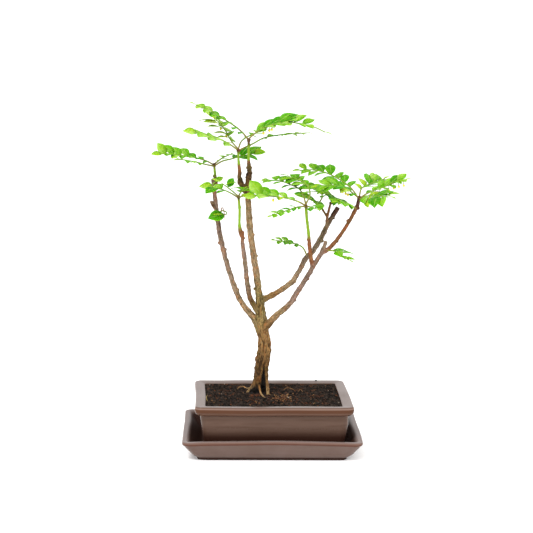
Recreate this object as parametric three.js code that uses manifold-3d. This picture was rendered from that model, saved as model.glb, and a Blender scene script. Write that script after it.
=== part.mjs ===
// A phyllanthus buxifolius bonsai in its rectangular pot, which stands in a saucer.
// Millimetres, +Z up, the long front of the pot faces -Y.
// The origin is on the saucer's underside, on the pot's upright centre line.
import * as THREE from "three";
import { mergeVertices } from "three/addons/utils/BufferGeometryUtils.js";
import Module from "manifold-3d";

const wasm = await Module();
wasm.setup();

// Driving dimensions
const GAP = 0.3; // between neighbours that touch
const SAUCER = {
  x: -2, // the pot stands a little off the saucer's centre
  width: 173,
  depth: 126,
  height: 20.5,
  baseWidth: 147,
  baseDepth: 108,
  footHeight: 3,
  footInset: 1.2,
  rim: 5,
  floor: 4,
  corner: 7,
  innerCorner: 4,
  edge: 1.2, // the rounding of the rim
};
const POT = {
  width: 150,
  depth: 110,
  height: 49,
  footHeight: 3,
  footLength: 20,
  footWidth: 12,
  footInset: 6,
  rimHeight: 9.4,
  rimWidth: 9.3,
  overhang: 4.2,
  draft: 4,
  floor: 4.5,
  corner: 6,
  innerCorner: 3,
  edge: 1.2,
  bottomEdge: 2,
  drainRadius: 6,
  drainSpacing: 66,
  drainSides: 12,
};
const SOIL = {
  belowRim: 1.9,
  bump: 0.5,
  settle: 0.4, // it sinks this much along the wall
  mound: 1.2,
  moundRadius: 22,
  broadWaves: [0.21, 0.27], // radians per millimetre, along X and along Y
  fineWaves: [0.47, 0.39],
  fineShare: 0.6,
  rings: [1, 0.93, 0.8, 0.63, 0.45, 0.27, 0.12], // as shares of the way out to the wall
};
const BARK = {
  ridges: 3,
  lean: 0.045,
  fineRidges: 5,
  fineLean: 0.07,
  fineShare: 0.4,
  fullRadius: 8,
};
const LEAF = {
  thickness: 0.7,
  widthRatio: 0.6,
  arch: 0.07,
  pitch: 0.25, // how far a leaf follows the slope of its stem
  sweep: 54, // the usual angle between a leaf and its stem
  taper: 0.42, // how much smaller the smallest leaf of a spray is
  taperPower: 1.5,
  tipSize: 0.75,
  lastPlace: 0.97,
  tipPlace: 0.985,
  riseSpread: 8,
  sweepSpread: 7,
  sizeSpread: 0.08,
};
const STEM = { rootRadius: 0.95, tipRadius: 0.8, step: 12, sides: 3 };
const BUD = {
  radius: 1.15,
  length: 2.6,
  widest: 0.45, // as a share of the length
  endRadius: 0.575,
  pedicel: 1.9,
  pedicelRadius: 0.4,
  sides: 3,
};
const CORNER_STEPS = 3;
const LIMB = { sides: 7, step: 11, twigSides: 6, twigRadius: 1.85 };
const FIRST_SEED = 101;
const SEED_STEP = 37;
const SMALLEST = 0.1; // edges shorter than this are closed up
const WELD = 1e-4;
const POT_FLOOR_Z = SAUCER.floor + GAP;
const POT_TOP_Z = POT_FLOOR_Z + POT.height;

const COLOURS = {
  clay: 0x6f4d3f,
  saucer: 0x6c4c42,
  soil: 0x1d1510,
  bark: 0x8a6d4c,
  leaf: 0x4fa51c,
};
const ROUGHNESS = { clay: 0.35, soil: 0.95, bark: 0.85, leaf: 0.5 };

const vec = (p) => new THREE.Vector3(p[0], p[1], p[2]);
const lerp = THREE.MathUtils.lerp;
const rad = THREE.MathUtils.degToRad;

// Closed solids

function solidFrom(positions, index) {
  const vertProperties = new Float32Array(positions);
  const triVerts = new Uint32Array(index);
  return new wasm.Manifold(new wasm.Mesh({ numProp: 3, vertProperties, triVerts }));
}

function solidOf(geometry) {
  const bare = geometry.clone();
  bare.deleteAttribute("normal");
  bare.deleteAttribute("uv");
  const merged = mergeVertices(bare, WELD);
  return solidFrom(merged.attributes.position.array, merged.index.array);
}

// Rings of equally many points, joined by walls and closed by a fan on each end.
// Each ring turns anticlockwise seen from the ring after it.
function loft(rings) {
  const sides = rings[0].length;
  const positions = rings.flat().flatMap((p) => [p.x, p.y, p.z]);
  const index = [];
  for (let k = 0; k + 1 < rings.length; k++) {
    for (let i = 0; i < sides; i++) {
      const a = k * sides + i;
      const b = k * sides + ((i + 1) % sides);
      index.push(a, b, b + sides, a, b + sides, a + sides);
    }
  }
  const ends = [
    { ring: rings[0], start: 0, facing: -1 },
    { ring: rings.at(-1), start: (rings.length - 1) * sides, facing: 1 },
  ];
  for (const { ring, start, facing } of ends) {
    const middle = positions.length / 3;
    const centre = new THREE.Vector3();
    for (const p of ring) centre.addScaledVector(p, 1 / sides);
    positions.push(centre.x, centre.y, centre.z);
    for (let i = 0; i < sides; i++) {
      const a = start + i;
      const b = start + ((i + 1) % sides);
      index.push(middle, facing > 0 ? a : b, facing > 0 ? b : a);
    }
  }
  return solidFrom(positions, index);
}

// Every part of one solid that is loose from its largest part is scrap.
function largest(solid) {
  return solid.decompose().sort((a, b) => b.volume() - a.volume())[0];
}

// Pot, saucer and soil: rings of a rectangle with round corners

function rectangle(width, depth, corner, z, x = 0) {
  const ring = [];
  const centres = [
    [1, -1, -90],
    [1, 1, 0],
    [-1, 1, 90],
    [-1, -1, 180],
  ];
  for (const [sx, sy, from] of centres) {
    for (let i = 0; i <= CORNER_STEPS; i++) {
      const angle = rad(from + (90 * i) / CORNER_STEPS);
      const px = x + sx * (width / 2 - corner) + corner * Math.cos(angle);
      const py = sy * (depth / 2 - corner) + corner * Math.sin(angle);
      ring.push(new THREE.Vector3(px, py, z));
    }
  }
  return ring;
}

function saucerSolid() {
  const s = SAUCER;
  const top = (loss, corner, z) => rectangle(s.width - loss, s.depth - loss, corner, z, s.x);
  const base = (loss, z) => rectangle(s.baseWidth - loss, s.baseDepth - loss, s.corner, z, s.x);
  const rise = (s.floor - s.footHeight) / (s.height - s.footHeight);
  const insideWidth = lerp(s.baseWidth, s.width, rise) - 2 * s.rim;
  const insideDepth = lerp(s.baseDepth, s.depth, rise) - 2 * s.rim;
  return loft([
    base(2 * s.footInset, 0),
    base(0, s.edge),
    base(0, s.footHeight),
    top(s.edge, s.corner, s.height - 2 * s.edge),
    top(0, s.corner, s.height - s.edge),
    top(2 * s.edge, s.corner, s.height),
    top(2 * s.rim - 2 * s.edge, s.innerCorner, s.height),
    top(2 * s.rim, s.innerCorner, s.height - s.edge),
    rectangle(insideWidth, insideDepth, s.innerCorner, s.floor, s.x),
  ]);
}

// The pot's outer width at a height above its feet, as a loss from the rim's width.
function bodyInset(z) {
  const run = (POT_TOP_Z - POT.rimHeight - z) / (POT.height - POT.rimHeight);
  return 2 * POT.overhang + 2 * POT.draft * run;
}

function potSolid() {
  const p = POT;
  const at = (inset, corner, z) => rectangle(p.width - inset, p.depth - inset, corner, z);
  const bottom = POT_FLOOR_Z + p.footHeight;
  const underRim = POT_TOP_Z - p.rimHeight;
  const inside = 2 * p.rimWidth;
  const shell = loft([
    at(bodyInset(bottom) + 2 * p.bottomEdge, p.corner, bottom),
    at(bodyInset(bottom), p.corner, bottom + p.bottomEdge),
    at(bodyInset(underRim), p.corner, underRim),
    at(2 * p.edge, p.corner, underRim + p.edge / 2),
    at(0, p.corner, underRim + 2 * p.edge),
    at(0, p.corner, POT_TOP_Z - p.edge),
    at(p.edge, p.corner, POT_TOP_Z),
    at(inside - p.edge, p.innerCorner, POT_TOP_Z),
    at(inside, p.innerCorner, POT_TOP_Z - p.edge),
    at(inside + 2 * p.draft, p.innerCorner, bottom + p.floor),
  ]);
  const drains = [-1, 1].map((side) => {
    const length = 4 * p.floor;
    const drill = new THREE.CylinderGeometry(p.drainRadius, p.drainRadius, length, p.drainSides);
    drill.rotateX(Math.PI / 2);
    drill.translate((side * p.drainSpacing) / 2, 0, bottom);
    return solidOf(drill);
  });
  const feet = [];
  const footTop = p.footHeight + p.edge;
  const footX = (p.width - bodyInset(bottom) - p.footLength) / 2 - p.footInset;
  const footY = (p.depth - bodyInset(bottom) - p.footWidth) / 2 - p.footInset;
  for (const sx of [-1, 1]) {
    for (const sy of [-1, 1]) {
      const foot = new THREE.BoxGeometry(p.footLength, p.footWidth, footTop);
      foot.translate(sx * footX, sy * footY, POT_FLOOR_Z + footTop / 2);
      feet.push(solidOf(foot));
    }
  }
  return wasm.Manifold.union([shell.subtract(drains[0]).subtract(drains[1]), ...feet]);
}

// Height of the earth: it undulates, and rises a little round the trunk.
function soilHeight(x, y) {
  const base = WOOD.trunk.route[1];
  const away = Math.hypot(x - base[0], y - base[1]);
  const [broadX, broadY] = SOIL.broadWaves;
  const [fineX, fineY] = SOIL.fineWaves;
  const broad = Math.sin(x * broadX + 1) * Math.cos(y * broadY);
  const fine = Math.sin(x * fineX - y * fineY);
  const mound = SOIL.mound * Math.exp(-((away / SOIL.moundRadius) ** 2));
  return POT_TOP_Z - SOIL.belowRim + SOIL.bump * (broad + SOIL.fineShare * fine) + mound;
}

function soilSolid(wood) {
  const p = POT;
  const bottom = POT_FLOOR_Z + p.footHeight + p.floor + GAP;
  const top = POT_TOP_Z - SOIL.belowRim;
  const inside = 2 * p.rimWidth + 2 * GAP;
  const draft = (z) => (2 * p.draft * (POT_TOP_Z - z)) / (POT.height - p.footHeight - p.floor);
  const at = (z) => {
    const inset = inside + draft(z);
    return rectangle(p.width - inset, p.depth - inset, p.innerCorner, z);
  };
  const edge = at(top);
  const rings = [at(bottom)];
  for (const share of SOIL.rings) {
    const settle = share === 1 ? SOIL.settle : 0;
    const ring = edge.map((q) => {
      const x = q.x * share;
      const y = q.y * share;
      return new THREE.Vector3(x, y, soilHeight(x, y) - settle);
    });
    rings.push(ring);
  }
  return largest(loft(rings).subtract(wood));
}

// Wood: each limb runs through its points, with its radius at each of them.
// A knob is a bud scar: [share of the length, side along X, radius].
// A head is the swelling at the end that the leafy sprays spring from.
const WOOD = {
  trunk: {
    route: [
      [-12, 9, 34], [-13, 9, 48], [-12, 9, 57], [-11, 8, 67], [-10, 8, 80], [-8, 7, 95],
      [-8, 7, 105], [-10, 8, 118], [-12, 8, 138], [-14, 9, 154], [-18, 9, 182], [-22, 8, 207],
      [-24, 8, 228], [-25, 8, 248], [-25, 8, 269],
    ],
    radii: [4, 5, 6.4, 7.1, 6.7, 6.6, 5.8, 5.8, 4.5, 3.3, 3.1, 3, 2.9, 2.7, 2.7],
    sides: 10,
    step: 7,
    bark: 0.12,
    knobs: [[0.52, -1, 1.5], [0.66, 1, 1.4], [0.75, 1, 1.4]],
  },
  limb_outer_left: {
    route: [
      [-12, 8, 114], [-18, 9, 126], [-28, 12, 138], [-34, 14, 148], [-40, 16, 164],
      [-47, 19, 186], [-52, 21, 208], [-56, 22, 236], [-59, 23, 263],
    ],
    radii: [4, 3.2, 2.8, 2.6, 2.6, 2.5, 2.4, 2.2, 2.1],
    knobs: [[0.3, 1, 1.2], [0.56, 1, 1.5], [0.6, -1, 1.5]],
  },
  shoot_outer_left: {
    route: [[-58, 22, 250], [-56, 21, 257], [-57, 21, 266], [-58, 22, 276]],
    radii: [1.8, 1.6, 1.3, 1.2],
    knobs: [[0.6, -1, 1.4]],
    head: 2.1,
  },
  stub_outer_left: {
    route: [[-56, 22, 232], [-59, 21, 237], [-61, 20, 241]],
    radii: [1.7, 1.6, 1.5],
  },
  limb_inner_left: {
    route: [
      [-13, 8, 131], [-18, 5, 139], [-23, 1, 149], [-25, -3, 160], [-28, -9, 184],
      [-31, -12, 205], [-31, -13, 216],
    ],
    radii: [3.2, 2.7, 2.5, 2.4, 2.2, 1.9, 1.8],
    knobs: [[0.38, 1, 1.1]],
  },
  shoot_inner_left: {
    route: [[-30, -12, 208], [-33, -13, 216], [-34, -14, 224], [-34, -14, 236], [-35, -14, 249]],
    radii: [1.6, 1.6, 0.95, 0.95, 1],
    knobs: [[0.77, 1, 1.1]],
    head: 1.9,
  },
  limb_upper_right: {
    route: [
      [-14, 9, 144], [-5, 11, 147], [5, 13, 152], [18, 15, 161], [26, 17, 172], [33, 19, 185],
      [40, 20, 192], [47, 21, 204], [55, 22, 220], [64, 23, 235],
    ],
    radii: [3.8, 2.9, 2.8, 2.7, 2.5, 2.5, 2.4, 2.4, 2.3, 2.3],
    knobs: [[0.31, 1, 1.4], [0.7, 1, 1.6], [0.9, 1, 1.2]],
  },
  twig_upper_right: {
    route: [[53, 21, 216], [53, 19, 224], [55, 17, 235], [56, 16, 240]],
    radii: [1.6, 1.3, 1.2, 1.1],
    head: 1.6,
  },
  twig_upper_right_left: {
    route: [[53, 19, 226], [48, 17, 234], [44, 16, 238]],
    radii: [1.1, 1, 0.9],
    head: 1.5,
  },
  limb_lower_right: {
    route: [
      [-10, 8, 111], [-5, 3, 121], [3, -2, 131], [14, -7, 142], [21, -10, 153], [31, -15, 171],
      [40, -19, 188], [45, -20, 196], [50, -20, 199], [57, -20, 206], [68, -18, 221],
      [78, -15, 239], [81, -14, 249],
    ],
    radii: [3, 3.4, 3, 2.8, 2.7, 2.4, 2.1, 2.1, 2.1, 1.9, 1.7, 1.8, 1.8],
    knobs: [[0.29, 1, 1.4], [0.44, 1, 1.3], [0.72, 1, 1.3], [0.86, -1, 1.7], [0.94, 1, 1.5]],
    head: 2.2,
  },
  stub_lower_right: {
    route: [[44, -20, 194], [47, -21, 202], [49, -22, 208]],
    radii: [2, 1.8, 1.7],
  },
  shoot_lower_right: {
    route: [
      [37, -18, 181], [35, -21, 190], [33, -23, 204], [32, -24, 215], [30, -24, 230],
      [29, -24, 242],
    ],
    radii: [1.8, 1.5, 1.3, 1.1, 1, 1.1],
    knobs: [[0.48, -1, 1.2]],
    head: 2,
  },
  shoot_top_left: {
    route: [
      [-26, 8, 250], [-30, 7, 256], [-33, 6, 263], [-34, 5, 275], [-35, 5, 285], [-35, 5, 292],
    ],
    radii: [2.4, 2.2, 1.7, 1.5, 1, 1.2],
    knobs: [[0.3, -1, 1.3]],
    head: 2.1,
  },
  shoot_top_right: {
    route: [[-25, 8, 265], [-24, 8, 272], [-25, 9, 283], [-25, 9, 302]],
    radii: [2.2, 1.7, 1.2, 1.1],
    knobs: [[0.86, 1, 1.2]],
    head: 1.9,
  },
  root_left: {
    route: [[-13, 7, 70], [-15, 7, 62], [-19, 8, 55], [-23, 11, 51], [-26, 14, 44]],
    radii: [4, 3.7, 3.1, 2.5, 1.8],
  },
  root_loop: {
    route: [[-17, 9, 57], [-24, 16, 54], [-28, 20, 55], [-33, 21, 53], [-36, 21, 47]],
    radii: [1.1, 0.9, 0.8, 0.8, 0.7],
  },
  root_front: {
    route: [[-13, 3, 61], [-12, -4, 56], [-10, -10, 53], [-7, -14, 51], [-5, -17, 46]],
    radii: [2, 1.5, 1.3, 1.2, 1],
  },
  root_right: {
    route: [[-8, 6, 72], [-6, 4, 61], [-5, 2, 52], [-5, 0, 43]],
    radii: [3.6, 3.2, 3, 2.4],
  },
  root_back: {
    route: [[-11, 11, 66], [-8, 17, 56], [-4, 22, 49], [-1, 24, 43]],
    radii: [4, 3.4, 2.6, 1.8],
  },
};

function curveOf(route) {
  return new THREE.CatmullRomCurve3(route.map(vec), false, "catmullrom", 0.5);
}

// A number listed for each point of a route, read at a curve parameter.
function along(values, t) {
  const place = t * (values.length - 1);
  const i = Math.min(Math.floor(place), values.length - 2);
  return lerp(values[i], values[i + 1], place - i);
}

// Rings along a curve, turned as little as the curve allows.
function sweep(curve, count, sides, radiusAt) {
  const rings = [];
  const normal = new THREE.Vector3();
  for (let k = 0; k <= count; k++) {
    const u = k / count;
    const centre = curve.getPointAt(u);
    const tangent = curve.getTangentAt(u);
    if (k === 0) {
      const along = Math.abs(tangent.x) > 0.9;
      normal.set(along ? 0 : 1, 0, along ? 1 : 0);
    }
    normal.addScaledVector(tangent, -normal.dot(tangent)).normalize();
    const other = new THREE.Vector3().crossVectors(tangent, normal);
    const ring = [];
    for (let i = 0; i < sides; i++) {
      const angle = (2 * Math.PI * i) / sides;
      const radius = radiusAt(u, angle);
      const point = centre.clone();
      point.addScaledVector(normal, radius * Math.cos(angle));
      point.addScaledVector(other, radius * Math.sin(angle));
      ring.push(point);
    }
    rings.push(ring);
  }
  return rings;
}

// Upright ridges and hollows of old bark, from -1 to 1.
function ridges(angle, height) {
  const broad = Math.sin(BARK.ridges * angle + BARK.lean * height);
  const narrow = Math.sin(BARK.fineRidges * angle - BARK.fineLean * height + 1);
  return lerp(broad, narrow, BARK.fineShare);
}

function limbSolids(limb, grow) {
  const curve = curveOf(limb.route);
  const length = curve.getLength();
  const thin = limb.radii[0] < LIMB.twigRadius;
  const sides = limb.sides ?? (thin ? LIMB.twigSides : LIMB.sides);
  const count = Math.max(2, Math.round(length / (limb.step ?? LIMB.step)));
  const bark = limb.bark ?? 0;
  const rings = sweep(curve, count, sides, (u, angle) => {
    const radius = along(limb.radii, curve.getUtoTmapping(u));
    const deep = bark * Math.min(1, (radius / BARK.fullRadius) ** 2);
    return radius * (1 + deep * ridges(angle, u * length)) + grow;
  });
  const solids = [loft(rings)];
  for (const [share, side, radius] of limb.knobs ?? []) {
    const centre = curve.getPointAt(share);
    const reach = along(limb.radii, curve.getUtoTmapping(share));
    const knob = new THREE.OctahedronGeometry(radius + grow);
    knob.translate(centre.x + side * reach, centre.y, centre.z);
    solids.push(solidOf(knob));
  }
  if (limb.head) {
    const end = vec(limb.route.at(-1));
    const head = new THREE.IcosahedronGeometry(limb.head + grow);
    head.translate(end.x, end.y, end.z);
    solids.push(solidOf(head));
  }
  return solids;
}

function woodSolid(grow = 0) {
  const solids = Object.values(WOOD).flatMap((limb) => limbSolids(limb, grow));
  return wasm.Manifold.union(solids).simplify(SMALLEST);
}

// Leafy sprays: a green stem with two rows of leaves by turns, and a leaf at its tip.
// rise: how far the left and the right row stand above level at the root and at the tip, in
// degrees, seen from the root. sweep: the angle between a leaf and its stem.
// from, to: where on the stem the leaves begin and end. full: where they are largest.
// tip: how far the leaf at the tip is rolled. buds: where flower buds hang below the stem.
const SPRAYS = {
  spray_outer_left_long: {
    route: [
      [-58, 22, 276], [-65, 20, 280], [-74, 18, 283], [-84, 15, 285], [-95, 12, 287],
      [-103, 10, 288], [-109, 8, 288],
    ],
    leaves: 12,
    size: 14,
    rise: [-5, -12, 10, 72],
    full: 0.85,
    tip: -25,
  },
  spray_outer_left_front: {
    route: [[-58, 21, 275], [-68, 12, 278], [-77, 4, 281], [-85, -3, 283], [-93, -9, 285]],
    leaves: 6,
    size: 10,
    rise: [-8, -10, -8, 2],
    from: 0.4,
    full: 0.8,
  },
  spray_outer_left_back: {
    route: [[-58, 23, 277], [-50, 32, 282], [-41, 42, 285]],
    leaves: 5,
    size: 9,
    rise: [5, 5, 5, 10],
    from: 0.25,
  },
  spray_outer_left_right: {
    route: [[-57, 21, 276], [-50, 22, 280], [-42, 22, 282], [-31, 24, 285], [-21, 24, 287]],
    leaves: 5,
    size: 19,
    rise: [15, 38, -6, -10],
    from: 0.5,
    full: 0.85,
    sweep: 46,
    tip: 40,
  },
  spray_outer_left_leaf: {
    route: [[-57, 21, 256], [-59, 18, 258], [-57, 17, 260]],
    leaves: 0,
    size: 17,
    rise: [0, 0, 0, 0],
    full: 1,
    tip: -45,
  },
  spray_top_left_long: {
    route: [
      [-35, 5, 292], [-44, 1, 298], [-54, -5, 303], [-62, -10, 306], [-68, -14, 309],
      [-75, -17, 311],
    ],
    leaves: 8,
    size: 18,
    rise: [-4, -8, 4, 12],
    from: 0.25,
    full: 1,
    sweep: 38,
    tip: -30,
  },
  spray_top_left_back: {
    route: [[-35, 6, 293], [-42, 12, 301], [-48, 18, 311], [-54, 23, 318], [-59, 28, 322]],
    leaves: 12,
    size: 17,
    rise: [0, 0, 0, 2],
    from: 0.2,
    full: 0.8,
    sweep: 58,
    buds: [0.5, 0.72, 0.97],
  },
  spray_top_left_right: {
    route: [
      [-35, 6, 292], [-27, 14, 295], [-20, 17, 298], [-11, 16, 303], [1, 14, 306],
      [17, 12, 308], [31, 10, 309],
    ],
    leaves: 10,
    size: 10,
    rise: [4, 0, -2, 0],
    from: 0.35,
    full: 0.6,
  },
  spray_top_left_up: {
    route: [[-35, 6, 294], [-32, 14, 300], [-26, 21, 304], [-18, 27, 307], [-11, 33, 310]],
    leaves: 6,
    size: 10,
    rise: [8, 5, 0, 5],
    from: 0.45,
  },
  spray_top_right_left: {
    route: [
      [-26, 9, 303], [-31, 8, 309], [-38, 6, 315], [-50, 3, 323], [-63, -1, 331], [-76, -4, 336],
    ],
    leaves: 13,
    size: 13,
    rise: [-8, -6, 14, 22],
    from: 0.12,
    full: 0.6,
    sweep: 50,
    buds: [0.7],
  },
  spray_top_right_right: {
    route: [
      [-25, 9, 303], [-20, 7, 307], [-12, 4, 312], [-2, 0, 316], [11, -5, 319], [23, -9, 318],
      [36, -13, 316], [47, -16, 312],
    ],
    leaves: 14,
    size: 17,
    rise: [52, 26, 0, 0],
    from: 0.12,
    to: 0.8,
    full: 0.4,
    sweep: 44,
    buds: [0.22, 0.3, 0.34],
  },
  spray_inner_left_left: {
    route: [[-35, -15, 250], [-42, -18, 256], [-47, -20, 260], [-51, -21, 263]],
    leaves: 3,
    size: 14,
    rise: [14, 14, 60, 60],
    from: 0.55,
    full: 0.9,
    sweep: 132,
  },
  spray_inner_left_far: {
    route: [[-36, -14, 249], [-43, -12, 253], [-51, -10, 256], [-59, -8, 257]],
    leaves: 3,
    size: 19,
    rise: [-5, -8, 5, 15],
    from: 0.5,
    full: 1,
    tip: -30,
  },
  spray_inner_left_right: {
    route: [[-35, -15, 249], [-29, -17, 251], [-24, -19, 252], [-19, -21, 252]],
    leaves: 4,
    size: 11,
    rise: [30, 35, -10, -15],
    from: 0.15,
    full: 0.7,
  },
  spray_inner_left_up: {
    route: [[-35, -13, 250], [-33, -9, 253], [-29, -3, 256]],
    leaves: 4,
    size: 12,
    rise: [20, 25, -5, 0],
    from: 0.4,
  },
  spray_lower_right_left: {
    route: [
      [28, -25, 243], [21, -28, 247], [12, -31, 250], [1, -33, 252], [-10, -35, 253],
      [-19, -36, 253],
    ],
    leaves: 10,
    size: 17,
    rise: [5, 6, 25, 48],
    full: 0.85,
    tip: -30,
    buds: [0.68],
  },
  spray_lower_right_front: {
    route: [[28, -25, 242], [19, -33, 242], [11, -39, 240], [2, -45, 238], [-5, -49, 236]],
    leaves: 9,
    size: 10,
    rise: [-10, -15, 5, 0],
    from: 0.2,
    full: 0.6,
    sweep: 50,
  },
  spray_lower_right_arch: {
    route: [
      [29, -23, 243], [27, -16, 251], [23, -10, 257], [16, -4, 260], [6, 3, 263], [-6, 9, 263],
    ],
    leaves: 11,
    size: 13,
    rise: [-14, -10, 15, 18],
    from: 0.25,
    full: 0.6,
    tip: -35,
  },
  spray_lower_right_up: {
    route: [[29, -24, 244], [33, -20, 253], [31, -15, 260], [24, -10, 265], [14, -5, 268]],
    leaves: 9,
    size: 14,
    rise: [-10, -8, 10, 14],
    from: 0.3,
    full: 0.7,
    sweep: 50,
  },
  spray_lower_right_right: {
    route: [[30, -25, 242], [34, -31, 242], [38, -36, 241]],
    leaves: 3,
    size: 11,
    rise: [15, 15, -20, -20],
    from: 0.4,
  },
  spray_twig_left: {
    route: [[44, 15, 238], [40, 11, 243], [35, 5, 246]],
    leaves: 5,
    size: 16,
    rise: [-28, -30, 18, 25],
    from: 0.1,
    sweep: 60,
  },
  spray_twig_back: {
    route: [[44, 17, 239], [48, 19, 246], [45, 22, 251], [38, 25, 254]],
    leaves: 6,
    size: 15,
    rise: [-8, -8, 14, 16],
    from: 0.3,
    full: 0.8,
    sweep: 38,
  },
  spray_twig_up: {
    route: [[56, 16, 240], [59, 10, 246], [55, 4, 250], [49, -1, 251]],
    leaves: 6,
    size: 16,
    rise: [-35, -35, 18, 20],
    from: 0.2,
    full: 0.6,
  },
  spray_crown_arch: {
    route: [
      [80, -13, 249], [75, -6, 256], [69, 4, 261], [60, 12, 266], [50, 18, 270], [38, 22, 272],
      [26, 24, 271],
    ],
    leaves: 14,
    size: 14,
    rise: [-14, -12, 22, 32],
    full: 0.6,
    sweep: 56,
  },
  spray_crown_left: {
    route: [[80, -15, 249], [73, -18, 255], [66, -19, 259], [54, -21, 262], [45, -22, 261]],
    leaves: 9,
    size: 15,
    rise: [-8, -14, 24, 30],
    full: 0.8,
    sweep: 50,
    tip: -30,
    buds: [0.35, 0.42, 0.52],
  },
  spray_crown_back: {
    route: [[81, -13, 250], [84, -4, 257], [92, 5, 260], [101, 13, 262], [109, 20, 264]],
    leaves: 10,
    size: 14,
    rise: [32, 40, -8, -4],
    from: 0.2,
    full: 0.5,
  },
  spray_crown_right: {
    route: [
      [82, -14, 249], [87, -16, 253], [95, -18, 257], [105, -20, 261], [115, -22, 266],
      [123, -24, 268],
    ],
    leaves: 12,
    size: 13,
    rise: [30, 44, -2, -4],
    full: 0.6,
    buds: [0.36, 0.44, 0.56, 0.64, 0.76, 0.86, 0.97],
  },
  spray_crown_front: {
    route: [[81, -15, 248], [86, -24, 252], [93, -33, 253], [99, -41, 254], [105, -47, 254]],
    leaves: 11,
    size: 15,
    rise: [4, 18, -32, -34],
    from: 0.2,
    full: 0.6,
    sweep: 56,
  },
  spray_crown_low: {
    route: [[78, -16, 239], [72, -20, 243], [66, -27, 246], [59, -33, 247]],
    leaves: 6,
    size: 13,
    rise: [-18, -22, 16, 16],
    from: 0.3,
    full: 0.7,
  },
  spray_middle: {
    route: [[34, 19, 187], [30, 16, 195], [25, 12, 199], [16, 8, 202], [8, 4, 204], [2, 2, 205]],
    leaves: 9,
    size: 11,
    rise: [-8, -10, 20, 26],
    from: 0.3,
    full: 0.6,
  },
  spray_elbow: {
    route: [[50, -21, 199], [57, -26, 199], [63, -31, 196], [70, -37, 192]],
    leaves: 5,
    size: 14,
    rise: [2, 0, -14, -16],
    from: 0.2,
    full: 0.3,
    sweep: 38,
  },
  spray_limb_pair: {
    route: [[-54, 21, 229], [-50, 16, 232], [-46, 13, 231], [-46, 12, 229], [-49, 11, 229]],
    leaves: 1,
    size: 17,
    rise: [-35, -35, -35, -35],
    from: 0.9,
    full: 1,
    sweep: 18,
    tip: -15,
  },
};

// The same draws come out on every run, in any language with 53-bit numbers.
function drawsFrom(seed) {
  let state = seed;
  return () => {
    state = (state * 16807) % 2147483647;
    return (state / 2147483647) * 2 - 1;
  };
}

// One leaf: a thin arched plate with a rounded outline, from its base on the stem.
// Its points are [share of the length, share of the width, share of the arch].
function leafSolid(leaf) {
  const outline = [
    [0, 0, 0],
    [0.38, -0.49, 1],
    [0.93, -0.3, 0],
    [0.93, 0.3, 0],
    [0.38, 0.49, 1],
  ];
  const faces = [
    [0, 1, 4],
    [1, 3, 4],
    [1, 2, 3],
  ];
  const width = leaf.length * LEAF.widthRatio;
  const positions = [];
  for (const face of [0.5, -0.5]) {
    for (const [forward, side, arch] of outline) {
      const q = leaf.base.clone();
      q.addScaledVector(leaf.forward, forward * leaf.length);
      q.addScaledVector(leaf.across, side * width);
      q.addScaledVector(leaf.normal, arch * LEAF.arch * leaf.length + face * LEAF.thickness);
      positions.push(q.x, q.y, q.z);
    }
  }
  const index = [];
  const count = outline.length;
  for (const [a, b, c] of faces) index.push(a, b, c, count + a, count + c, count + b);
  for (let i = 0; i < count; i++) {
    const next = (i + 1) % count;
    index.push(i, count + i, count + next, i, count + next, next);
  }
  return solidFrom(positions, index);
}

// Where each leaf of a spray stands: its base, its three directions and its length.
function leavesOf(spray, curve, draw) {
  const { from = 0.15, to = LEAF.lastPlace, full = 0.5, tip = 0, sweep = LEAF.sweep } = spray;
  const [leftRoot, leftTip, rightRoot, rightTip] = spray.rise;
  const up = new THREE.Vector3(0, 0, 1);
  const leaves = [];
  for (let i = 0; i <= spray.leaves; i++) {
    const last = i === spray.leaves;
    const share = last ? 1 : i / spray.leaves;
    const u = last ? LEAF.tipPlace : lerp(from, to, share);
    const side = last ? 0 : i % 2 ? -1 : 1;
    const tangent = curve.getTangentAt(u);
    const ahead = new THREE.Vector3(tangent.x, tangent.y, 0).normalize();
    const left = new THREE.Vector3().crossVectors(up, ahead);
    const rowRise = side < 0 ? lerp(rightRoot, rightTip, share) : lerp(leftRoot, leftTip, share);
    const rise = rad(last ? tip : rowRise + LEAF.riseSpread * draw());
    const swept = rad(last ? 0 : sweep + LEAF.sweepSpread * draw());
    const out = left.clone().multiplyScalar(side * Math.cos(rise));
    out.addScaledVector(up, Math.sin(rise));
    const forward = ahead.clone().multiplyScalar(Math.cos(swept));
    forward.addScaledVector(out, Math.sin(swept));
    forward.addScaledVector(up, tangent.z * (last ? 1 : LEAF.pitch)).normalize();
    const normal = up.clone().multiplyScalar(Math.cos(rise));
    normal.addScaledVector(left, -(last ? 1 : side) * Math.sin(rise));
    normal.addScaledVector(forward, -normal.dot(forward)).normalize();
    const across = new THREE.Vector3().crossVectors(normal, forward);
    const reach = Math.abs(share - full) / Math.max(full, 1 - full);
    const grown = 1 - LEAF.taper * reach ** LEAF.taperPower;
    const chance = 1 + LEAF.sizeSpread * draw();
    const length = spray.size * grown * chance * (last ? LEAF.tipSize : 1);
    leaves.push({ base: curve.getPointAt(u), forward, across, normal, length });
  }
  return leaves;
}

// A flower bud hangs on a thin stalk: both are one spindle.
function budSolid(top) {
  const profile = [
    [0, BUD.pedicelRadius],
    [BUD.pedicel, BUD.pedicelRadius],
    [BUD.pedicel + BUD.widest * BUD.length, BUD.radius],
    [BUD.pedicel + BUD.length, BUD.endRadius],
  ];
  const rings = profile.map(([drop, radius]) => {
    const ring = [];
    for (let i = 0; i < BUD.sides; i++) {
      const angle = (-2 * Math.PI * i) / BUD.sides;
      const across = new THREE.Vector3(Math.cos(angle), Math.sin(angle), 0);
      ring.push(top.clone().addScaledVector(across, radius).add(new THREE.Vector3(0, 0, -drop)));
    }
    return ring;
  });
  return loft(rings);
}

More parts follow.
